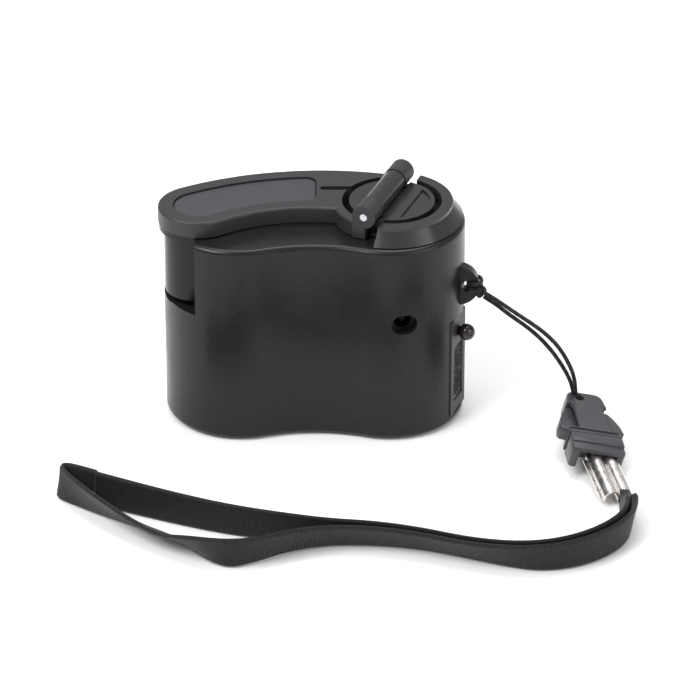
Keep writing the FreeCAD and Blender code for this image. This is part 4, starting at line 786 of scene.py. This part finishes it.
# a cutting tool reaches 1 mm past the face it cuts through, and 7 mm to both sides where it cuts
# right across
PAST = 1
ACROSS = (-7, 7)
for side in (-1, 1):
    across = sorted((side * WINDOW_SIDE, side * (FRONT_HALF + WINDOW_REACH)))
    window = box("window", across, WINDOW, (-THICK - PAST, THICK + PAST))
    carve(socket, round_edges(window, upright, WINDOW_ROUND, steps=3))
carve(socket, box("throat", (-THROAT_HALF, THROAT_HALF), (-PAST, WINDOW[1] + THROAT_PAST_WINDOW),
                  (-THICK + WALL, THICK - WALL)))
for height in (THICK, -THICK):
    carve(socket, box("lip_groove", ACROSS, LIP_GROOVE,
                      (height - GROOVE_HALF_DEEP, height + GROOVE_HALF_DEEP)))
bpy.ops.mesh.primitive_cylinder_add(vertices=32, radius=HOLE_RADIUS * MM, depth=HOLE_LONG * MM,
                                    location=(HOLE_X * MM, (SOCKET_LONG - HOLE_FROM_REAR) * MM, 0))
cord_hole = bpy.context.object
bpy.ops.object.transform_apply(location=True, rotation=True, scale=True)
carve(socket, cord_hole)
soften(socket, MOULD_ROUND)
print(socket.name, len(socket.data.polygons), "faces")

# %% [markdown]
# The plug is a block with a step down towards the strap and an opening for the clamp.
# Its two prongs swell out through the socket's windows, where fingers squeeze them, and
# a guide tongue between them keeps it straight.

# %% The plug half of the buckle
PLUG_HALF, PLUG_LONG, PLUG_GAP = 5.4, 5.3, 0.15
PLUG_ROUND = 0.7
LEDGE_FROM, LEDGE_STEP = -3.1, 0.45
OPENING_ACROSS, OPENING_TO, OPENING_ROOF = (-3.9, 3.9), -1.7, 1.3
SLOT_ACROSS, SLOT_ALONG, SLOT_TALL = (-3.5, 3.5), (-1.35, -0.75), (-0.6, 0.6)
PRONG = [
    (2.9, -0.6), (4.4, -0.6), (4.6, 1.8), (6.4, 2.2), (6.75, 3.1), (6.35, 5.4), (5.3, 8.0),
    (4.4, 9.4), (3.5, 9.6), (3.2, 8.6),
]
PRONG_HALF_THICK = 1.45
GUIDE_ACROSS, GUIDE_ALONG, GUIDE_TALL = (-0.9, 0.9), (-0.6, 7.8), (-1.0, 1.0)
plug_half = box("buckle_plug", (-PLUG_HALF, PLUG_HALF), (-PLUG_LONG, -PLUG_GAP), (-THICK, THICK))
round_edges(plug_half, upright, PLUG_ROUND, steps=4)
carve(plug_half, box("ledge", ACROSS, (-PLUG_LONG - PAST, LEDGE_FROM),
                     (THICK - LEDGE_STEP, THICK + PAST)))
carve(plug_half, box("clamp_opening", OPENING_ACROSS, (-PLUG_LONG - PAST, OPENING_TO),
                     (-THICK - PAST, THICK - OPENING_ROOF)))
carve(plug_half, box("strap_bar_slot", SLOT_ACROSS, SLOT_ALONG, SLOT_TALL))
for side in (-1, 1):
    carve(plug_half, slab("prong", [(side * x, y) for x, y in PRONG], PRONG_HALF_THICK), "UNION")
carve(plug_half, box("guide", GUIDE_ACROSS, GUIDE_ALONG, GUIDE_TALL), "UNION")
soften(plug_half, MOULD_ROUND)
print(plug_half.name, len(plug_half.data.polygons), "faces")

# %% Lay both halves down
for made, node in ((socket, "buckle_female"), (plug_half, "buckle_male")):
    made.data.transform(BUCKLE_PLACE)
    made.data.materials.clear()
    made.data.materials.append(buckle_acetal)
    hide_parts(node)
    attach(made, "root")

# %% [markdown]
# ## The metal clamp
# One strip of bright plated steel is folded over the strap's ends into two round ridges
# side by side. Each ridge is an open ring: a circle cut off below, extruded along the
# strap and given the thickness of the sheet. The strip's outer lip lies flat beside the
# left ridge.

# %% Clamp
CLAMP_START, CLAMP_LONG = 3.2, 13.4
RIDGE_RADIUS, RIDGE_APART, RIDGE_CUT, SHEET = 1.65, 1.52, -0.95, 0.3
# the lip starts a little behind the ridges' start and ends a little before their end
LIP_ACROSS, LIP_TALL = (-3.75, -3.0), (-1.05, -0.78)
LIP_ALONG = (-CLAMP_START - CLAMP_LONG + 0.8, -CLAMP_START - 0.5)
SHEET_ROUND = 0.05
CLAMP_DROP = -0.3
CLAMP_SIDE = 0.8
CLAMP_YAW, CLAMP_ROLL, CLAMP_PITCH = BUCKLE_YAW + 6.3, 0.8 * BUCKLE_ROLL, 8.0
CLAMP_PLACE = (Matrix.Translation(BUCKLE_PLACE @ (Vector((CLAMP_SIDE, 0, CLAMP_DROP)) * MM))
               @ turned(CLAMP_YAW, CLAMP_ROLL, CLAMP_PITCH))


def ridge(name, centre_x):
    """One round ridge of the folded sheet, open underneath."""
    bpy.ops.mesh.primitive_circle_add(
        vertices=56, radius=(RIDGE_RADIUS - SHEET / 2) * MM, fill_type="NOTHING",
        location=(centre_x * MM, -CLAMP_START * MM, CLAMP_DROP * MM), rotation=(math.pi / 2, 0, 0))
    made = bpy.context.object
    made.name = name
    bpy.ops.object.transform_apply(location=True, rotation=True, scale=True)
    bpy.ops.object.mode_set(mode="EDIT")
    bpy.ops.mesh.select_all(action="SELECT")
    bpy.ops.mesh.bisect(plane_co=(0, 0, RIDGE_CUT * MM), plane_no=(0, 0, 1), clear_inner=True)
    bpy.ops.mesh.select_all(action="SELECT")
    bpy.ops.mesh.extrude_region_move(TRANSFORM_OT_translate={"value": (0, -CLAMP_LONG * MM, 0)})
    bpy.ops.object.mode_set(mode="OBJECT")
    wall = made.modifiers.new("wall", "SOLIDIFY")
    wall.thickness = SHEET * MM
    wall.offset = 0.0
    bpy.ops.object.modifier_apply(modifier=wall.name)
    return made


clamp = ridge("folded_clamp", -RIDGE_APART)
carve(clamp, ridge("second_ridge", RIDGE_APART), "UNION")
carve(clamp, box("outer_lip", LIP_ACROSS, LIP_ALONG, LIP_TALL), "UNION")
soften(clamp, SHEET_ROUND, steps=1)
clamp.data.transform(CLAMP_PLACE)
clamp.data.materials.clear()
clamp.data.materials.append(satin_nickel)
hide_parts("strap_clamp")
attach(clamp, "root")
print(clamp.name, len(clamp.data.polygons), "faces")

# %% [markdown]
# ## Studio
# A pale table and three large soft lamps, as in a product picture. The table is white,
# so it stays bright and still shows the soft shadow under the box.

# %% Table and sky
TABLE_WIDE = 6.0
SKY_STRENGTH = 0.55
bpy.ops.mesh.primitive_plane_add(size=TABLE_WIDE)
table = bpy.context.object
table.name = "table"
paper, paper_shader = finish_of("white paper", 0.9)
paper_shader.inputs["Base Color"].default_value = linear("#f6f6f6")
paper_shader.inputs["Specular IOR Level"].default_value = 0.1
table.data.materials.append(paper)

world = bpy.data.worlds.new("studio")
bpy.context.scene.world = world
world.use_nodes = True
sky = world.node_tree.nodes["Background"]
sky.inputs["Color"].default_value = (1.0, 1.0, 1.0, 1.0)
sky.inputs["Strength"].default_value = SKY_STRENGTH

# %% Lamps
LAMPS_AIM = Vector((0.0, -0.01, 0.02))
# each lamp's place and width in metres, and its power in watts
LAMPS = {
    "key": ((-0.5, -0.35, 0.75), 0.5, 7.0),
    "fill": ((0.7, -0.5, 0.45), 0.6, 2.5),
    "top": ((0.05, 0.25, 0.9), 0.6, 5.0),
}
for name, (place, wide, watts) in LAMPS.items():
    bpy.ops.object.light_add(type="AREA", location=place)
    lamp = bpy.context.object
    lamp.name = name
    lamp.data.shape = "SQUARE"
    lamp.data.size = wide
    lamp.data.energy = watts
    lamp.rotation_euler = (LAMPS_AIM - Vector(place)).to_track_quat("-Z", "Y").to_euler()
bpy.context.scene.view_settings.view_transform = "Standard"
print("lamps", sorted(LAMPS))
